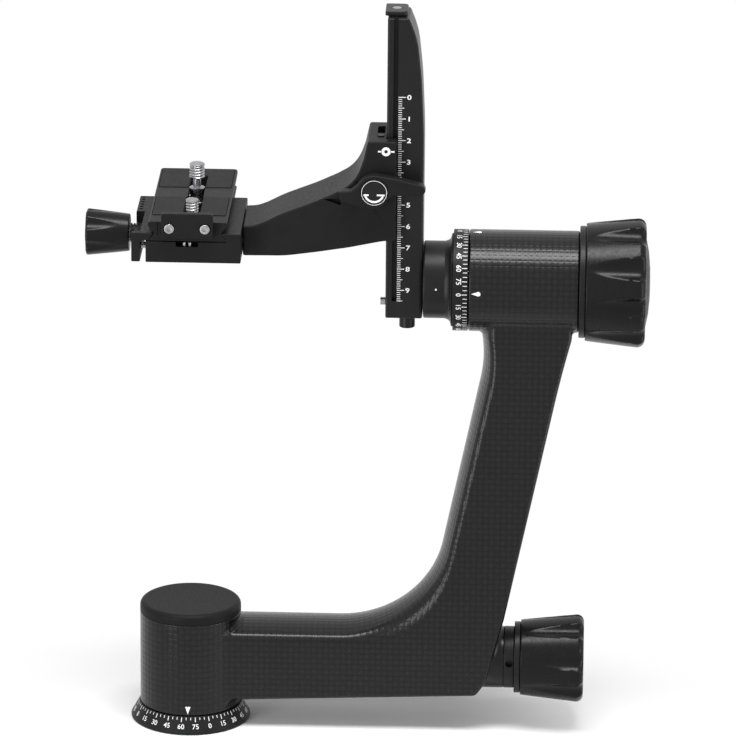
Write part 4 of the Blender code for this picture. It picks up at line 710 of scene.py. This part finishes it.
def lobed(name, small, big, length, start, count, first, width, tip, bore, dish, centre,
          round_share=0.09):
    """Knob about an X axis: a rounded cone in which tilted round grooves are worked.

    The cone runs from a small to a big radius, with a bore (radius, depth) in the small end and a
    dish (radius, depth) in the big one. The first groove stands at an angle and each is twice as
    wide as an angle, both in degrees. A groove is a cylinder of the tool's radius, whose axis leans
    so that its floor meets the cone at tip times the length. Seen along the axis, its wall stands
    at the distance of the tool's axis times cos(a), less the square root of the tool's radius
    squared minus that distance times sin(a) squared. Length is negative towards -X.
    """
    first, width = math.radians(first), math.radians(width)
    depth = GROOVE * big
    half = big * math.sin(width)
    fall = depth - (big - math.sqrt(big ** 2 - half ** 2))
    tool = (half ** 2 + fall ** 2) / (2 * fall)
    size = abs(length)
    rim = round_share * size
    line = eased([(bore[0], 0, 0), (small, 0, 0.6), (big, size, rim), (dish[0], size, 0.5),
                  (dish[0] - 0.4, size - dish[1], 0), (0, size - dish[1], 0), (0, bore[1], 0),
                  (bore[0], bore[1], 0)], 10)
    side = (line[:, 0] > small - 0.5) & (line[:, 1] > 0.5) & (line[:, 1] < size - rim)
    low, high = np.nonzero(side)[0][[0, -1]]
    share = np.linspace(0, 1, 46)[1:-1, None]
    line = np.vstack([line[:low + 1], line[low] + (line[high] - line[low]) * share, line[high:]])
    line = np.vstack([line, line[:1]])
    turn = np.linspace(0, 2 * np.pi, count * 24 + 1)
    r, x = line[:, :1], line[:, 1:]
    cone = small + (big - small) * x / size
    low_cone = small + (big - small) * tip
    floor = low_cone + (big - depth - low_cone) * (x / size - tip) / (1 - tip)
    away = np.abs((turn - first + np.pi / count) % (2 * np.pi / count) - np.pi / count)
    reach = floor + tool
    aside = reach * np.sin(away)
    wall = np.where(aside < tool,
                    reach * np.cos(away) - np.sqrt(np.maximum(tool ** 2 - aside ** 2, 0)), 2 * big)
    blend = np.clip(0.5 + (wall - cone) / GROOVE_EDGE, 0, 1)
    sag = 0.5 * GROOVE_EDGE * blend * (1 - blend)
    shaped = wall * (1 - blend) + cone * blend - sag
    outer = np.clip((r - dish[0]) / (cone - dish[0]), 0, 1)
    radius = r * (1 - outer * (1 - np.minimum(shaped / cone, 1)))
    grid = around(radius, turn, start + math.copysign(1, length) * x, "X")
    return skin(name, grid + np.array(centre), angle=50)


def moulded(name, color=(0.005, 0.005, 0.005), roughness=0.27, specular=0.16):
    """Hard moulded rubber with a fine spark-eroded grain."""
    mat, tree, shader, place = mottled(name, color, roughness, (90, 0.88, 1.12),
                                       (700, -0.06, 0.06), specular=specular)
    relief(tree, shader, speckle(tree, place, 3200, 0.0, 1.0, 2.0), 0.01 * MM, 0.5)
    return mat


bush = turned("neck_bush", bored(LOCK_BORE, BUSH, 144.25, 149.0, 0.1, 0.35), "X", lock_axis)
drill(bush, [(1.7, -15.5, -11.5)], "Y", (146.8, 0, 32.9), 32)
bush_black = anodised("bush_black", ring_axis="X", centre=lock_axis)
dress(bush, "pan_arm", bush_black, "pan_neck_bush", slot="black_alloy")
ring = turned("pan_collar", bored(8.3, 16.4, 149.05, 151.85, 0.1, 0.45), "X", lock_axis, 128)
dress(ring, "pan_knob_turn", bush_black, "pan_knob_collar", slot="black_alloy")
rubber = moulded("knob_rubber")
pan_grip = lobed("pan_grip", small=17.3, big=20.6, length=29.0, start=151.9, count=8, first=165,
                 width=12.5, tip=0.08, bore=(3.3, 12.3), dish=(13.0, 1.2), centre=lock_axis,
                 round_share=0.11)
hub_boss = turned("hub_boss", [(3.3, 149.6, 0.1), (8.0, 149.6, 0.2), (8.0, 152.4, 0),
                               (3.3, 152.4, 0)], "X", lock_axis, 64)
dress(joined("pan_lock_grip", [pan_grip, hub_boss]), "pan_knob_turn", rubber, "pan_knob",
      slot="knob_rubber")


# Tilt flange: turned aluminium. Its boss carries the rail and flares out to the dial ring, whose
# white scale runs round the barrel's left end like the pan scale round the base.
BOSS = 17.5  # radius of the boss
DIAL = 22.9  # radius of the dial ring
DIAL_START = 118.9  # its left end, x
flange = turned("flange", [
    (9.8, 105.5, 0.1), (BOSS, 105.5, 0.8), (BOSS, 115.2, 1.5), (18.3, 117.4, 2.0),
    (DIAL, 118.6, 0.3), (20.2, 118.7, 0), (20.2, 125.7, 0.1), (8.3, 125.7, 0.1), (8.3, 109.1, 0.1),
    (9.8, 109.1, 0.1)], "X", tilt_axis, 144)
turned_black = anodised("turned_black", ring_axis="X", centre=tilt_axis)
dress(flange, "swing_arm", turned_black, "tilt_flange", slot="black_alloy")
ring = turned("tilt_ring", bored(20.5, DIAL, DIAL_START, 125.7, 0.1, 0.25), "X", tilt_axis, 160)
dress(ring, "swing_arm", dial_black, "tilt_dial", slot="black_alloy")
marks = degree_scale(math.pi, DIAL, 2.7, 4.1, 4.6, 6.5)
points, faces = taken_apart(rod(0.45, -0.02, 0.05, steps=20).data)
dot = at_angle((points / MM, faces), math.radians(178.2), BOSS)
printed("tilt_scale", "swing_arm", put(marks, on_tube, DIAL, DIAL_START, tilt_axis)
        + put([dot], on_tube, BOSS, 111.4, tilt_axis))


# Tilt lock: the big knob with ten finger grooves, its thin collar ring and the domed end cap that
# snaps into the knob's dish.
ring = turned("tilt_collar", bored(11.3, 25.3, 175.65, 178.45, 0.1, 0.45), "X", tilt_axis, 144)
dress(ring, "tilt_knob_turn", turned_black, "tilt_knob_collar", slot="black_alloy")
grip = lobed("tilt_grip", small=26.6, big=29.6, length=27.0, start=178.5, count=10, first=150.8,
             width=10.5, tip=0.06, bore=(11.3, 20.3), dish=(21.6, 3.0), centre=tilt_axis,
             round_share=0.13)
dress(grip, "tilt_knob_turn", rubber, "tilt_knob", slot="knob_rubber")
cap = turned("end_cap", [(0, 202.8, 0), (21.3, 202.8, 0.2), (21.3, 205.35, 0.3), (14.0, 206.8, 14),
                         (7.0, 207.4, 14), (0, 207.5, 0)], "X", tilt_axis, 144)
cap_plastic = moulded("cap_plastic", roughness=0.4, specular=0.1)
dress(cap, "tilt_knob_turn", cap_plastic, "tilt_knob_cap", slot="knob_rubber")


# Swing rail: an aluminium extrusion with a lip on its left and a groove down both sides. Its right
# side tapers in towards the top. A stop ends it above, a stud and a bright peg below.
RAIL_HALF = 11  # from the rail's middle to its front and back
LIP = (91.4, 93.5)  # the grooves behind the lip, from and to x
STOP_X = 92.4  # of the screw that holds the top stop
STUD_X = 98.2
PEG_Z = 201.9


def set_in(corners, depth):
    """The outline with each side moved in by its depth, the sides counted from the first corner on.

    A corner that points outward loses the depth from its rounding, and a hollow one gains it.
    """
    table = np.array(corners, float)
    here = table[:, :2]
    ahead = unit(np.roll(here, -1, 0) - here)
    area = (here[:, 0] * np.roll(here[:, 1], -1) - here[:, 1] * np.roll(here[:, 0], -1)).sum()
    inward = np.sign(area) * np.stack([-ahead[:, 1], ahead[:, 0]], 1)
    before = np.roll(inward, 1, 0)
    depth = np.broadcast_to(depth, len(table)).astype(float)
    last = np.roll(depth, 1)
    turn = before[:, 0] * inward[:, 1] - before[:, 1] * inward[:, 0]
    straight = np.abs(turn) < 1e-6
    move = np.stack([last * inward[:, 1] - depth * before[:, 1],
                     depth * before[:, 0] - last * inward[:, 0]], 1)
    move /= np.where(straight, 1, turn)[:, None]
    move = np.where(straight[:, None], inward * depth[:, None], move)
    radius = np.maximum(table[:, 2] - np.minimum(depth, last) * np.sign(turn * area), 0.02)
    return np.column_stack([here + move, radius])


def drawn_out(name, outline, low, high, edge=0.0, axis="Y", broad=1):
    """Body of an eased outline of (x, z, rounding) corners between two places along Y.

    The edge rounds both ends: the outline is set in by edge (1 - sin(t)) at edge (1 - cos(t)) from
    the end, and broad gives how many times as wide the rounding is along each side. With axis Z
    the outline is read as (x, y) and the body stands between two heights.
    """
    t = np.linspace(0, np.pi / 2, 5)
    steps = [(1.25 * edge, 0), *zip(edge * (1 - np.sin(t)), edge * (1 - np.cos(t))),
             (0, 1.25 * edge)] if edge else [(0, 0)]
    rings = [(inward, low + along) for inward, along in steps]
    rings += [(inward, high - along) for inward, along in steps[::-1]]
    grid = np.stack([np.insert(eased(set_in(outline, inward * np.array(broad))),
                               1 if axis == "Y" else 2, place, 1)
                     for inward, place in rings])
    grid = np.concatenate([grid, grid[:, :1]], 1)
    index = np.arange(grid.shape[0] * grid.shape[1]).reshape(grid.shape[:2])
    faces = quads(*grid.shape[:2]) + [index[0, :-1].tolist(), index[-1, :-1].tolist()]
    return closed_mesh(name, grid, faces)


def mill(piece, low, high):
    """Cut a block between two corners out of a piece."""
    (x0, y0, z0), (x1, y1, z1) = low, high
    outline = [(x0, z0, 0), (x1, z0, 0), (x1, z1, 0), (x0, z1, 0)]
    cut(piece, drawn_out("tool", outline, y0, y1))


def metal(name, color, roughness, tint=(250, 0.86, 1.1), patch=(900, -0.06, 0.08)):
    """Machined bare metal with a fine grain."""
    mat, tree, shader, place = mottled(name, color, roughness, tint, patch, 1.0)
    relief(tree, shader, speckle(tree, place, 5000, 0.0, 1.0), 0.004 * MM, 0.5)
    return mat


rail = drawn_out("rail", [
    (88.6, 197.1, 0.7), (105.2, 197.1, 0.9), (105.2, 283.5, 300), (104.0, 308.5, 150),
    (102.0, 326.6, 40), (98.2, 336.4, 1.6), (88.6, 336.4, 0.7)],
    -RAIL_HALF, RAIL_HALF, 0.8, broad=(1, 2.2, 2.2, 2.2, 2.2, 1, 1))
for low, high in ((-14, -8.3), (8.3, 14)):
    mill(rail, (LIP[0], low, 205.1), (LIP[1], high, 340))
for side in (-1, 1):
    drill(rail, [(2.8, 86, 95.2), (1.8, 95, 108)], "X", (0, side * 5, AXIS_Z + side * 11.6))
drill(rail, [(2.4, 325, 340)], centre=(STOP_X, 0, 0))
drill(rail, [(1.3, 86, 94)], "X", (0, 0, PEG_Z))
drill(rail, [(2.3, 190, 203.4)], centre=(STUD_X, 0, 0))
rail_black = anodised("rail_black")
dress(rail, "swing_arm", rail_black, "swing_rail", slot="black_alloy")
stop = drawn_out("stop", [(87.4, -7.3, 0.8), (97.4, -7.3, 2.2), (97.4, 7.3, 2.2),
                          (87.4, 7.3, 0.8)], 336.7, 338.7, 0.35, "Z")
drill(stop, [(2.45, 337.6, 340), (1.35, 335, 340)], centre=(STOP_X, 0, 0))
dress(stop, "swing_arm", rail_black, "rail_top_stop", slot="black_alloy")
peg = turned("peg", [(0, 86.9, 0), (0.85, 86.9, 0), (0.85, 86.0, 0.05), (1.75, 86.0, 0.25),
                     (1.75, 88.3, 0.1), (1.0, 88.3, 0), (1.0, 93.4, 0.2), (0, 93.4, 0)],
             "X", (0, 0, PEG_Z), 48)
steel = metal("bright_steel", (0.36, 0.36, 0.37), 0.28, (300, 0.85, 1.1), (1500, -0.06, 0.1))
dress(peg, "swing_arm", steel, "rail_stop_screw", slot="steel")
stud = turned("stud", [(0, 190.0, 0), (3.55, 190.0, 0.5), (3.55, 196.8, 0.4), (2.0, 196.8, 0),
                       (2.0, 203.1, 0.2), (0, 203.1, 0)], "Z", (STUD_X, 0, 0), 64)
dress(stud, "swing_arm", rail_black, "rail_bottom_stud", slot="black_alloy")


# Rail scale: printed on the rail's front in millimetres, 0 at the top to 9 nine centimetres lower.
SCALE_ZERO = 300.4  # height of the 0
SCALE_X = 93.7  # where the strokes start
NUMBERS_X = 98.5


def on_front(flat, front, centre=(0, 0)):
    """Set (right, up, out) about an (x, z) centre on a face that looks forward at y = front."""
    return np.stack([centre[0] + flat[:, 0], front - flat[:, 2], centre[1] + flat[:, 1]], 1)


def level_strokes(heights, widths, spans):
    """Bars in (right, up, out) that lie level, each at a height and from and to a place."""
    points, faces = strokes(heights, widths, spans, 1)
    return points[:, [1, 0, 2]], faces


count = np.arange(96)
tens, fives = count % 10 == 0, count % 10 == 5
ends = np.where(tens, 97.0, np.where(fives, 96.2, 95.3))
marks = [level_strokes(SCALE_ZERO - count, np.where(tens, 0.34, 0.28),
                       [(SCALE_X, end) for end in ends])]
for k in range(10):
    points, faces = lettering(str(k), 2.2, 0.03)
    marks.append((points * (1.3, 1, 1) + (NUMBERS_X, SCALE_ZERO - 10 * k, 0), faces))
printed("rail_scale", "swing_arm", put(marks, on_front, -RAIL_HALF))


# Carriage: milled aluminium that grips the rail's lip. Its platform arm sweeps left and down to
# the clamp, a pin stands in the pocket on its top, and a white mark reads the rail's scale.
CARRIAGE_HALF = 16.6  # from its middle to its front and back
PIVOT = (83.55, 0, 259.6)  # of the lock lever
BOLT_Z = 232.1  # of the clamp's bolts and screw
BOLT_Y = 9.5  # of the two bolts, in front and behind
EYE = (88.5, 276.7)  # centre of the round index mark, x and z


def band(low, high, first=0, last=360, steps=60):
    """Printed ring or arc in (right, up, out) between two radii and two angles in degrees.

    A closed rectangle of (radius, out) points is carried round the centre, and an arc's two ends
    are closed as well.
    """
    turn = np.radians(np.linspace(first, last, steps + 1))
    section = np.array([(low, 0), (high, 0), (high, INK), (low, INK), (low, 0)])
    grid = around(section[:, :1], turn, section[:, 1:])
    faces = quads(*grid.shape[:2])
    if last - first < 360:
        row = np.arange(4) * (steps + 1)
        faces += [row.tolist(), (row[::-1] + steps).tolist()]
    return grid.reshape(-1, 3), faces


arm = drawn_out("platform", [
    (24.7, 227.1, 0.85), (43.8, 227.3, 60), (57.8, 229.3, 60), (72.4, 231.7, 100),
    (88.3, 235.1, 30), (93.1, 235.1, 0.85), (93.1, 281.1, 0.85), (80.3, 281.1, 1.2),
    (78.4, 272.3, 12), (76.0, 265.5, 18), (72.2, 260.6, 16), (65.5, 256.8, 30), (56.4, 252.6, 60),
    (41.9, 246.9, 60), (34.2, 242.9, 14), (29.7, 241.2, 12), (24.7, 240.9, 0.85)],
    -CARRIAGE_HALF, CARRIAGE_HALF, 0.8)
mill(arm, (88.3, -11.3, 230), (91.7, 11.3, 290))
mill(arm, (91.0, -8.6, 230), (96, 8.6, 290))
mill(arm, (85.75, -6.3, 250.3), (89, 6.3, 268.9))
mill(arm, (84.2, -1.7, 276.1), (87.6, 9.5, 284))
drill(arm, [(1.8, 272.8, 284)], centre=(85.9, -6.6, 0))
drill(arm, [(2.5, -20, 12.3)], "Y", PIVOT)
cut(arm, drawn_out("tool", [(60.6, 254.2, 0), (68.5, 251.4, 0), (68.5, 254.8, 0)], -20, -14.2))
for side in (-1, 1):
    drill(arm, [(1.8, 20, 35)], "X", (0, side * BOLT_Y, BOLT_Z))
milled = anodised("milled_black", roughness=0.46, specular=0.1)
dress(arm, "carriage", milled, "platform_arm", slot="black_alloy")
bars = level_strokes([0, 0], [0.7, 0.7], [(-3.6, -1.8), (1.8, 3.8)])
marks = [bars, band(0.8, 2.05, steps=48)]
printed("carriage_mark", "carriage", put(marks, on_front, -CARRIAGE_HALF, EYE))


# Lock lever: a cast lever with a long thumb arm and a short tail, which turns about a shaft under
# a round cap with a white mark. A thin white ring near the cap's rim is a painted highlight.
CAP_FRONT = -23.25  # y of the cap's face


def arc(radius, first, last, count=9):
    """Corners without rounding along an arc about the pivot, between two angles in degrees."""
    return [(PIVOT[0] + radius * math.cos(t), PIVOT[2] + radius * math.sin(t), 0)
            for t in np.radians(np.linspace(first, last, count))]


lever = drawn_out("thumb_lever", [
    (93.3, 265.8, 6), (105.3, 262.7, 2.6), (106.8, 260.1, 1.6), (104.6, 258.0, 2.2),
    (92.8, 258.2, 3), (89.2, 256.0, 2), *arc(7.7, -56, -108), (75.2, 253.2, 3),
    (68.2, 255.0, 1.5), (67.7, 259.6, 1.2), (73.1, 259.9, 2), (75.8, 262.1, 3),
    *arc(7.7, 138, 72)], -22.9, -16.9, 0.8)
drill(lever, [(6.25, -25, -22.1)], "Y", PIVOT, 96)
drill(lever, [(2.5, -25, -15)], "Y", PIVOT)
dress(lever, "lever", milled, "lock_lever", slot="black_alloy")
cap = turned("lever_button", [
    (0, CAP_FRONT, 0), (4.3, CAP_FRONT, 0.1), (4.4, -23.1, 0.1), (4.8, -23.1, 0.1),
    (4.9, -23.3, 0.1), (6.0, -23.3, 0.3), (6.0, -22.4, 0), (0, -22.4, 0)], "Y", PIVOT)
dress(cap, "lever", anodised("button_black", ring_axis="Y", centre=PIVOT), "lever_cap",
      slot="black_alloy")
bars = level_strokes([0, 0], [0.75, 0.75], [(-4.7, -2.4), (1.2, 5.1)])
# the arc below the pivot is print; the ring from 5.5 to 5.7 mm is a painted highlight on the cap's rim
print_arc_and_rim_highlight = [band(3.7, 4.6, 200, 340), band(5.5, 5.7)]
printed("lever_mark_and_rim_highlight", "lever", put([bars], on_front, CAP_FRONT, (PIVOT[0], 258.4))
        + put(print_arc_and_rim_highlight, on_front, CAP_FRONT - INK, (PIVOT[0], 259.4)))


# Clamp: a dovetail body bolted to the platform arm, and a moving jaw that the small knob's screw
# draws against the plate. A notch in front holds the two safety pins.
CLAMP_HALF = 29  # from the clamp's middle to its front and back
PIN_Y = 19  # of the jaw's two guide pins
DIMPLE_GAP = 3.7  # between the six dimples along the jaw's top
screw_axis = (0, 0, BOLT_Z)
body = drawn_out("clamp", [
    (-18.1, 227.1, 0.5), (24.4, 227.1, 0.6), (24.4, 240.7, 0.6), (15.9, 240.7, 0.25),
    (15.9, 239.9, 0.2), (17.9, 237.9, 0.2), (17.9, 236.9, 0.2), (-18.1, 236.9, 0.4)],
    -CLAMP_HALF, CLAMP_HALF, 0.45)
mill(body, (-4.6, -31, 234.5), (5.4, -24, 240))
for x in (-0.85, 1.65):
    drill(body, [(0.95, 232, 238)], centre=(x, -27.3, 0))
drill(body, [(2.8, -20, 3.7)], "X", screw_axis)
for side in (-1, 1):
    drill(body, [(1.8, -20, -5.9)], "X", (0, side * PIN_Y, BOLT_Z))
    drill(body, [(2.8, -20, 16.5), (1.8, 16, 26)], "X", (0, side * BOLT_Y, BOLT_Z))
dress(body, "carriage", milled, "clamp_body", slot="black_alloy")
jaw = drawn_out("jaw", [
    (-24.5, 227.3, 0.5), (-20.6, 227.3, 0.4), (-20.6, 237.2, 0.2), (-16.5, 237.2, 0.2),
    (-16.5, 237.9, 0.2), (-14.9, 239.9, 0.2), (-14.9, 240.7, 0.25), (-24.5, 240.7, 0.6)],
    -CLAMP_HALF, CLAMP_HALF, 0.4)
mill(jaw, (-28, -26, 235.3), (-20.6, 4.8, 245))
drill(jaw, [(2.8, -28, -18), (4.45, -28, -21.4)], "X", screw_axis)
for side in (-1, 1):
    drill(jaw, [(1.8, -22.8, -18)], "X", (0, side * PIN_Y, BOLT_Z))
for k in range(6):
    drill(jaw, [(0.9, 239.9, 242)], centre=(-22.6, 27.0 - DIMPLE_GAP * k, 0), steps=20)
dress(jaw, "jaw", milled, "moving_jaw", slot="black_alloy")
ribs = [(radius, x + 1.4 * k, 0.1) for k in range(4)
        for radius, x in ((4.2, -26.8), (4.2, -26.1), (3.6, -26.0), (3.6, -25.5))]
bush = turned("clamp_neck", [(2.8, -26.8, 0.1), *ribs[:-2], (4.2, -21.7, 0.1), (2.8, -21.7, 0.1)],
              "X", screw_axis, 64)
dress(bush, "clamp_knob_turn", milled, "clamp_neck_bush", slot="black_alloy")
grip = lobed("clamp_grip", small=8.4, big=10.7, length=-19.6, start=-27.1, count=6, first=143,
             width=17, tip=0.29, bore=(2.8, 12.3), dish=(7.0, 0.6), centre=screw_axis,
             round_share=0.05)
dress(grip, "clamp_knob_turn", rubber, "clamp_knob", slot="knob_rubber")


# Quick-release plate: a dovetail bar milled from aluminium, with rubber pads let into its top and
# a long slot for the camera screws.
PLATE_X = 0.7  # middle of the plate
SLOT_X = 1.7  # middle of its slot
SLOT_Y = (-17.1, 43.9)
BRACKET_SCREWS = (-7.25, 8.65)  # their x
BRACKET_Z = 244.1
edge = [(17.2, 237.2, 0.15), (17.2, 237.9, 0.1), (15.2, 239.9, 0.15), (15.2, 241.2, 0.15),
        (17.6, 243.9, 0.2), (17.6, 245.5, 0.2), (17.0, 246.1, 0.2)]
profile = [(PLATE_X + x, z, r) for x, z, r in edge] + [(PLATE_X - x, z, r) for x, z, r in edge[::-1]]


def slotted(piece, half, low, high):
    """Cut the slot into a piece between two heights, its half width on both sides of SLOT_X."""
    mill(piece, (SLOT_X - half, SLOT_Y[0], low), (SLOT_X + half, SLOT_Y[1], high))


plate = drawn_out("plate", profile, -29.1, 55.9, 0.3)
slotted(plate, 3.6, 235, 250)
slotted(plate, 6.6, 235, 241.8)
pads = {"front": (-18.4, 9.6), "rear": (25.4, 55.1)}
for low, high in pads.values():
    mill(plate, (PLATE_X - 16.7, low - 0.3, 245.3), (PLATE_X + 16.7, high + 0.3, 250))
for x in (-12.6, 11.7):
    mill(plate, (x - 0.15, -31, 240), (x + 0.15, -28.7, 250))
for x in BRACKET_SCREWS:
    drill(plate, [(1.3, -31, -22.7)], "Y", (x, 0, BRACKET_Z))
dress(plate, "plate", milled, "quick_release_plate", slot="black_alloy")
pad_rubber = moulded("pad_rubber", (0.018, 0.018, 0.018), 0.7, 0.12)
for label, (low, high) in pads.items():
    pad = drawn_out(f"pad_{label}", [
        (PLATE_X - 16.4, 245.6, 0), (PLATE_X + 16.4, 245.6, 0), (PLATE_X + 16.4, 246.4, 0.2),
        (PLATE_X - 16.4, 246.4, 0.2)], low, high, 0.15)
    slotted(pad, 3.9, 240, 250)
    dress(pad, "plate", pad_rubber, f"plate_pad_{label}", slot="pad_rubber")


# Front bracket: a small stop for the lens foot on the plate's front end, held by two socket screws.
bracket = drawn_out("bracket", [(-10.8, 239.4, 0.6), (12.2, 239.4, 0.6), (12.2, 251.0, 1.2),
                                (-10.8, 251.0, 1.2)], -33, -29.4, 0.4)
for x in BRACKET_SCREWS:
    drill(bracket, [(2.5, -36, -31.9), (1.3, -36, -28)], "Y", (x, 0, BRACKET_Z))
dress(bracket, "plate", milled, "front_bracket", slot="black_alloy")
for number, x in enumerate(BRACKET_SCREWS, 1):
    middle = (x, 0, BRACKET_Z)
    head = turned(f"bracket_bolt_{number}", [
        (0, -33.8, 0), (2.2, -33.8, 0.3), (2.2, -32.2, 0.1), (1.0, -32.2, 0), (1.0, -23.1, 0.2),
        (0, -23.1, 0)], "Y", middle, 48)
    hexagon = [(0, -35, 0), (1.15, -35, 0), (1.15, -32.7, 0), (0, -32.5, 0)]
    cut(head, turned("tool", hexagon, "Y", middle, 6))
    dress(head, "plate", steel, f"bracket_screw_{number}", slot="steel")


# Camera screws: turned steel, with a thread above a waist that keeps them from falling out. Each has
# a washer under the plate.
PITCH = 1.27  # of the thread
THREAD_DEPTH = 0.5
POINT = 0.9  # length of the plain tip


def threaded(name, big, foot, tip, collar, centre):
    """Screw about Z: an outline turned with its radius lowered along a helix where it is threaded.

    The groove is a triangle wave of height over pitch less the share of a turn.
    """
    plain = [(0, 237.5), (5.4, 237.5), (5.6, 237.7), (5.6, 239.5), (5.4, 239.7), (3.17, 239.7)]
    rows = int((tip - foot) / PITCH * 10)
    thread = [(big, z) for z in np.linspace(foot, tip - POINT, rows)]
    line = np.array([*plain, *collar, *thread, (0.93 * big, tip - 0.5), (0.7 * big, tip - 0.1),
                     (0.4 * big, tip), (0, tip)])
    turn = np.linspace(0, 2 * np.pi, 49)
    wave = np.abs(((line[:, 1:] / PITCH - turn / (2 * np.pi)) % 1) * 2 - 1)
    inside = (line[:, 1:] > foot) & (line[:, 1:] < tip - POINT)
    radius = np.where(inside, line[:, :1] - THREAD_DEPTH * wave, line[:, :1])
    return skin(name, around(radius, turn, line[:, 1:]) + np.array(centre), angle=30)


for label, big, foot, tip, y, collar in (
        ("front", 2.9, 244.6, 251.8, -10.6, [(3.17, 243.0), (2.2, 243.6), (2.2, 244.3)]),
        ("rear", 3.5, 251.9, 258.6, 23.8, [(3.17, 246.2), (3.5, 246.4), (3.5, 246.8), (2.0, 247.6),
                                           (1.8, 250.9), (2.6, 251.5)])):
    middle = (SLOT_X, y, 0)
    screw = threaded(f"screw_{label}", big, foot, tip, collar, middle)
    dress(screw, f"{label}_screw_turn", steel, f"camera_screw_{label}", slot="steel")
    washer = turned(f"washer_{label}", bored(3.47, 6.2, 240.0, 241.2, 0.1, 0.2), "Z", middle, 64)
    dress(washer, f"{label}_washer", steel, f"screw_washer_{label}", slot="steel")


# Works inside: spindles, bearings, sleeves, nuts, rods, pins and brake shoes keep their packed
# shapes, as the carriage's pin does, and take the metal that each is made of.
pairs = [f"{stem}_{number}" for number in (1, 2)
         for stem in ("base_screw", "rail_bolt", "clamp_bolt", "safety_pin", "jaw_pin")]
inner_metals = {
    "steel": (steel, [*pairs, "pan_spindle", "pan_nut", "pan_bearing_lower", "pan_bearing_upper",
                      "pan_lock_rod", "tilt_bearing_left", "tilt_bearing_right", "tilt_spindle",
                      "rail_top_screw", "lever_shaft", "clamp_screw"]),
    "alloy": (metal("plain_alloy", (0.5, 0.5, 0.51), 0.4),
              ["hub_sleeve", "barrel_sleeve", "tilt_knob_nut"]),
    "black_alloy": (rail_black, ["carriage_pin"]),
    "brass": (metal("brass", (0.6, 0.44, 0.18), 0.34),
              ["pan_lock_shoe", "tilt_friction_disc", "rail_gib"]),
}
for label, (mat, nodes) in inner_metals.items():
    for name in nodes:
        piece = bpy.data.objects[name]
        piece.data.materials.clear()
        piece.data.materials.append(mat)


# Studio: a round pale floor under the base that fades into a white room, a long soft lamp overhead
# and a tall one on either side in front, which reach below the floor's level beside it.
FLOOR_COLOR = (0.95, 0.95, 0.95)
FLOOR_MIDDLE = (60, 0, 0)
FLOOR_RADIUS = 340
FADE = (0.05, 0.21)  # metres from the floor's middle where it turns white
SOFT = 0.35  # how strongly the white room lights the object
LIT = (0.08, 0, 0.17)  # what the lamps face


def studio_panel(name, place, size, power):
    """Rectangular lamp that faces the object, sizes in metres."""
    data = bpy.data.lights.new(name, "AREA")
    data.shape = "RECTANGLE"
    data.size, data.size_y = size
    data.energy = power
    lamp = placed(name, data)
    lamp.location = place
    lamp.rotation_euler = (Vector(LIT) - Vector(place)).to_track_quat("-Z", "Y").to_euler()


def seen_rays(tree):
    """1 for rays from the camera and for those that metal and glass send, else 0."""
    path = node(tree, "LightPath", {}).outputs
    direct = calc(tree, "MAXIMUM", path["Is Camera Ray"], path["Is Glossy Ray"])
    return calc(tree, "MAXIMUM", direct, path["Is Transmission Ray"])


def mixed_to(tree, share, one, two, output):
    """Show one shader where the share is 0 and the other where it is 1."""
    mix = node(tree, "MixShader", {"Fac": share, 1: one.outputs[0], 2: two.outputs[0]})
    tree.links.new(mix.outputs["Shader"], tree.nodes[output].inputs["Surface"])


floor = turned("floor", bored(0, FLOOR_RADIUS, -12, -0.2, 0), "Z", FLOOR_MIDDLE, 128)
pale, tree, shader, place = fresh("pale_floor", FLOOR_COLOR, 0.6)
tinted(tree, shader, FLOOR_COLOR, speckle(tree, place, 30, 0.99, 1.01))
away = node(tree, "VectorMath", {0: place, 1: [c * MM for c in FLOOR_MIDDLE]},
            operation="DISTANCE")
fade = node(tree, "MapRange", {"Value": away.outputs["Value"], "From Min": FADE[0],
                               "From Max": FADE[1]}, interpolation_type="SMOOTHSTEP")
share = calc(tree, "MULTIPLY", fade.outputs["Result"], seen_rays(tree))
far = node(tree, "Emission", {"Strength": 1.0})
mixed_to(tree, share, shader, far, "Material Output")
floor.data.materials.append(pale)

studio_panel("key", (-1.0, -1.3, 0.0), (0.6, 1.9), 20)
studio_panel("side", (1.6, -0.65, 0.1), (0.6, 1.8), 12)
studio_panel("over", (0.12, -0.42, 1.9), (1.3, 0.62), 37)

world = bpy.data.worlds.new("white_room")
bpy.context.scene.world = world
world.use_nodes = True
tree = world.node_tree
soft = tree.nodes["Background"]
soft.inputs["Color"].default_value = (1, 1, 1, 1)
soft.inputs["Strength"].default_value = SOFT
seen = node(tree, "Background", {"Color": (1, 1, 1, 1), "Strength": 1.0})
mixed_to(tree, seen_rays(tree), soft, seen, "World Output")


# Camera: a long lens in front and a little above, where the photograph was taken from.
PHOTO_SIZE = 736  # pixels
FOCAL_LENGTH = 6000  # in the photograph's pixels
SENSOR = 36
azimuth, elevation, roll = math.radians(1.92), math.radians(18.25), math.radians(0.46)
aim = Vector((80.69, 0, 169.76)) * MM
distance = 2719.73 * MM
lens = bpy.data.cameras.new("photo")
lens.sensor_width = SENSOR
lens.lens = FOCAL_LENGTH / PHOTO_SIZE * SENSOR
lens.clip_end = 20
camera = placed("photo", lens)
camera.matrix_world = (Matrix.Translation(aim) @ Matrix.Rotation(azimuth, 4, "Z")
                       @ Matrix.Rotation(math.pi / 2 - elevation, 4, "X")
                       @ Matrix.Rotation(roll, 4, "Z") @ Matrix.Translation((0, 0, distance)))
bpy.context.scene.camera = camera
bpy.context.scene.view_settings.view_transform = "Standard"
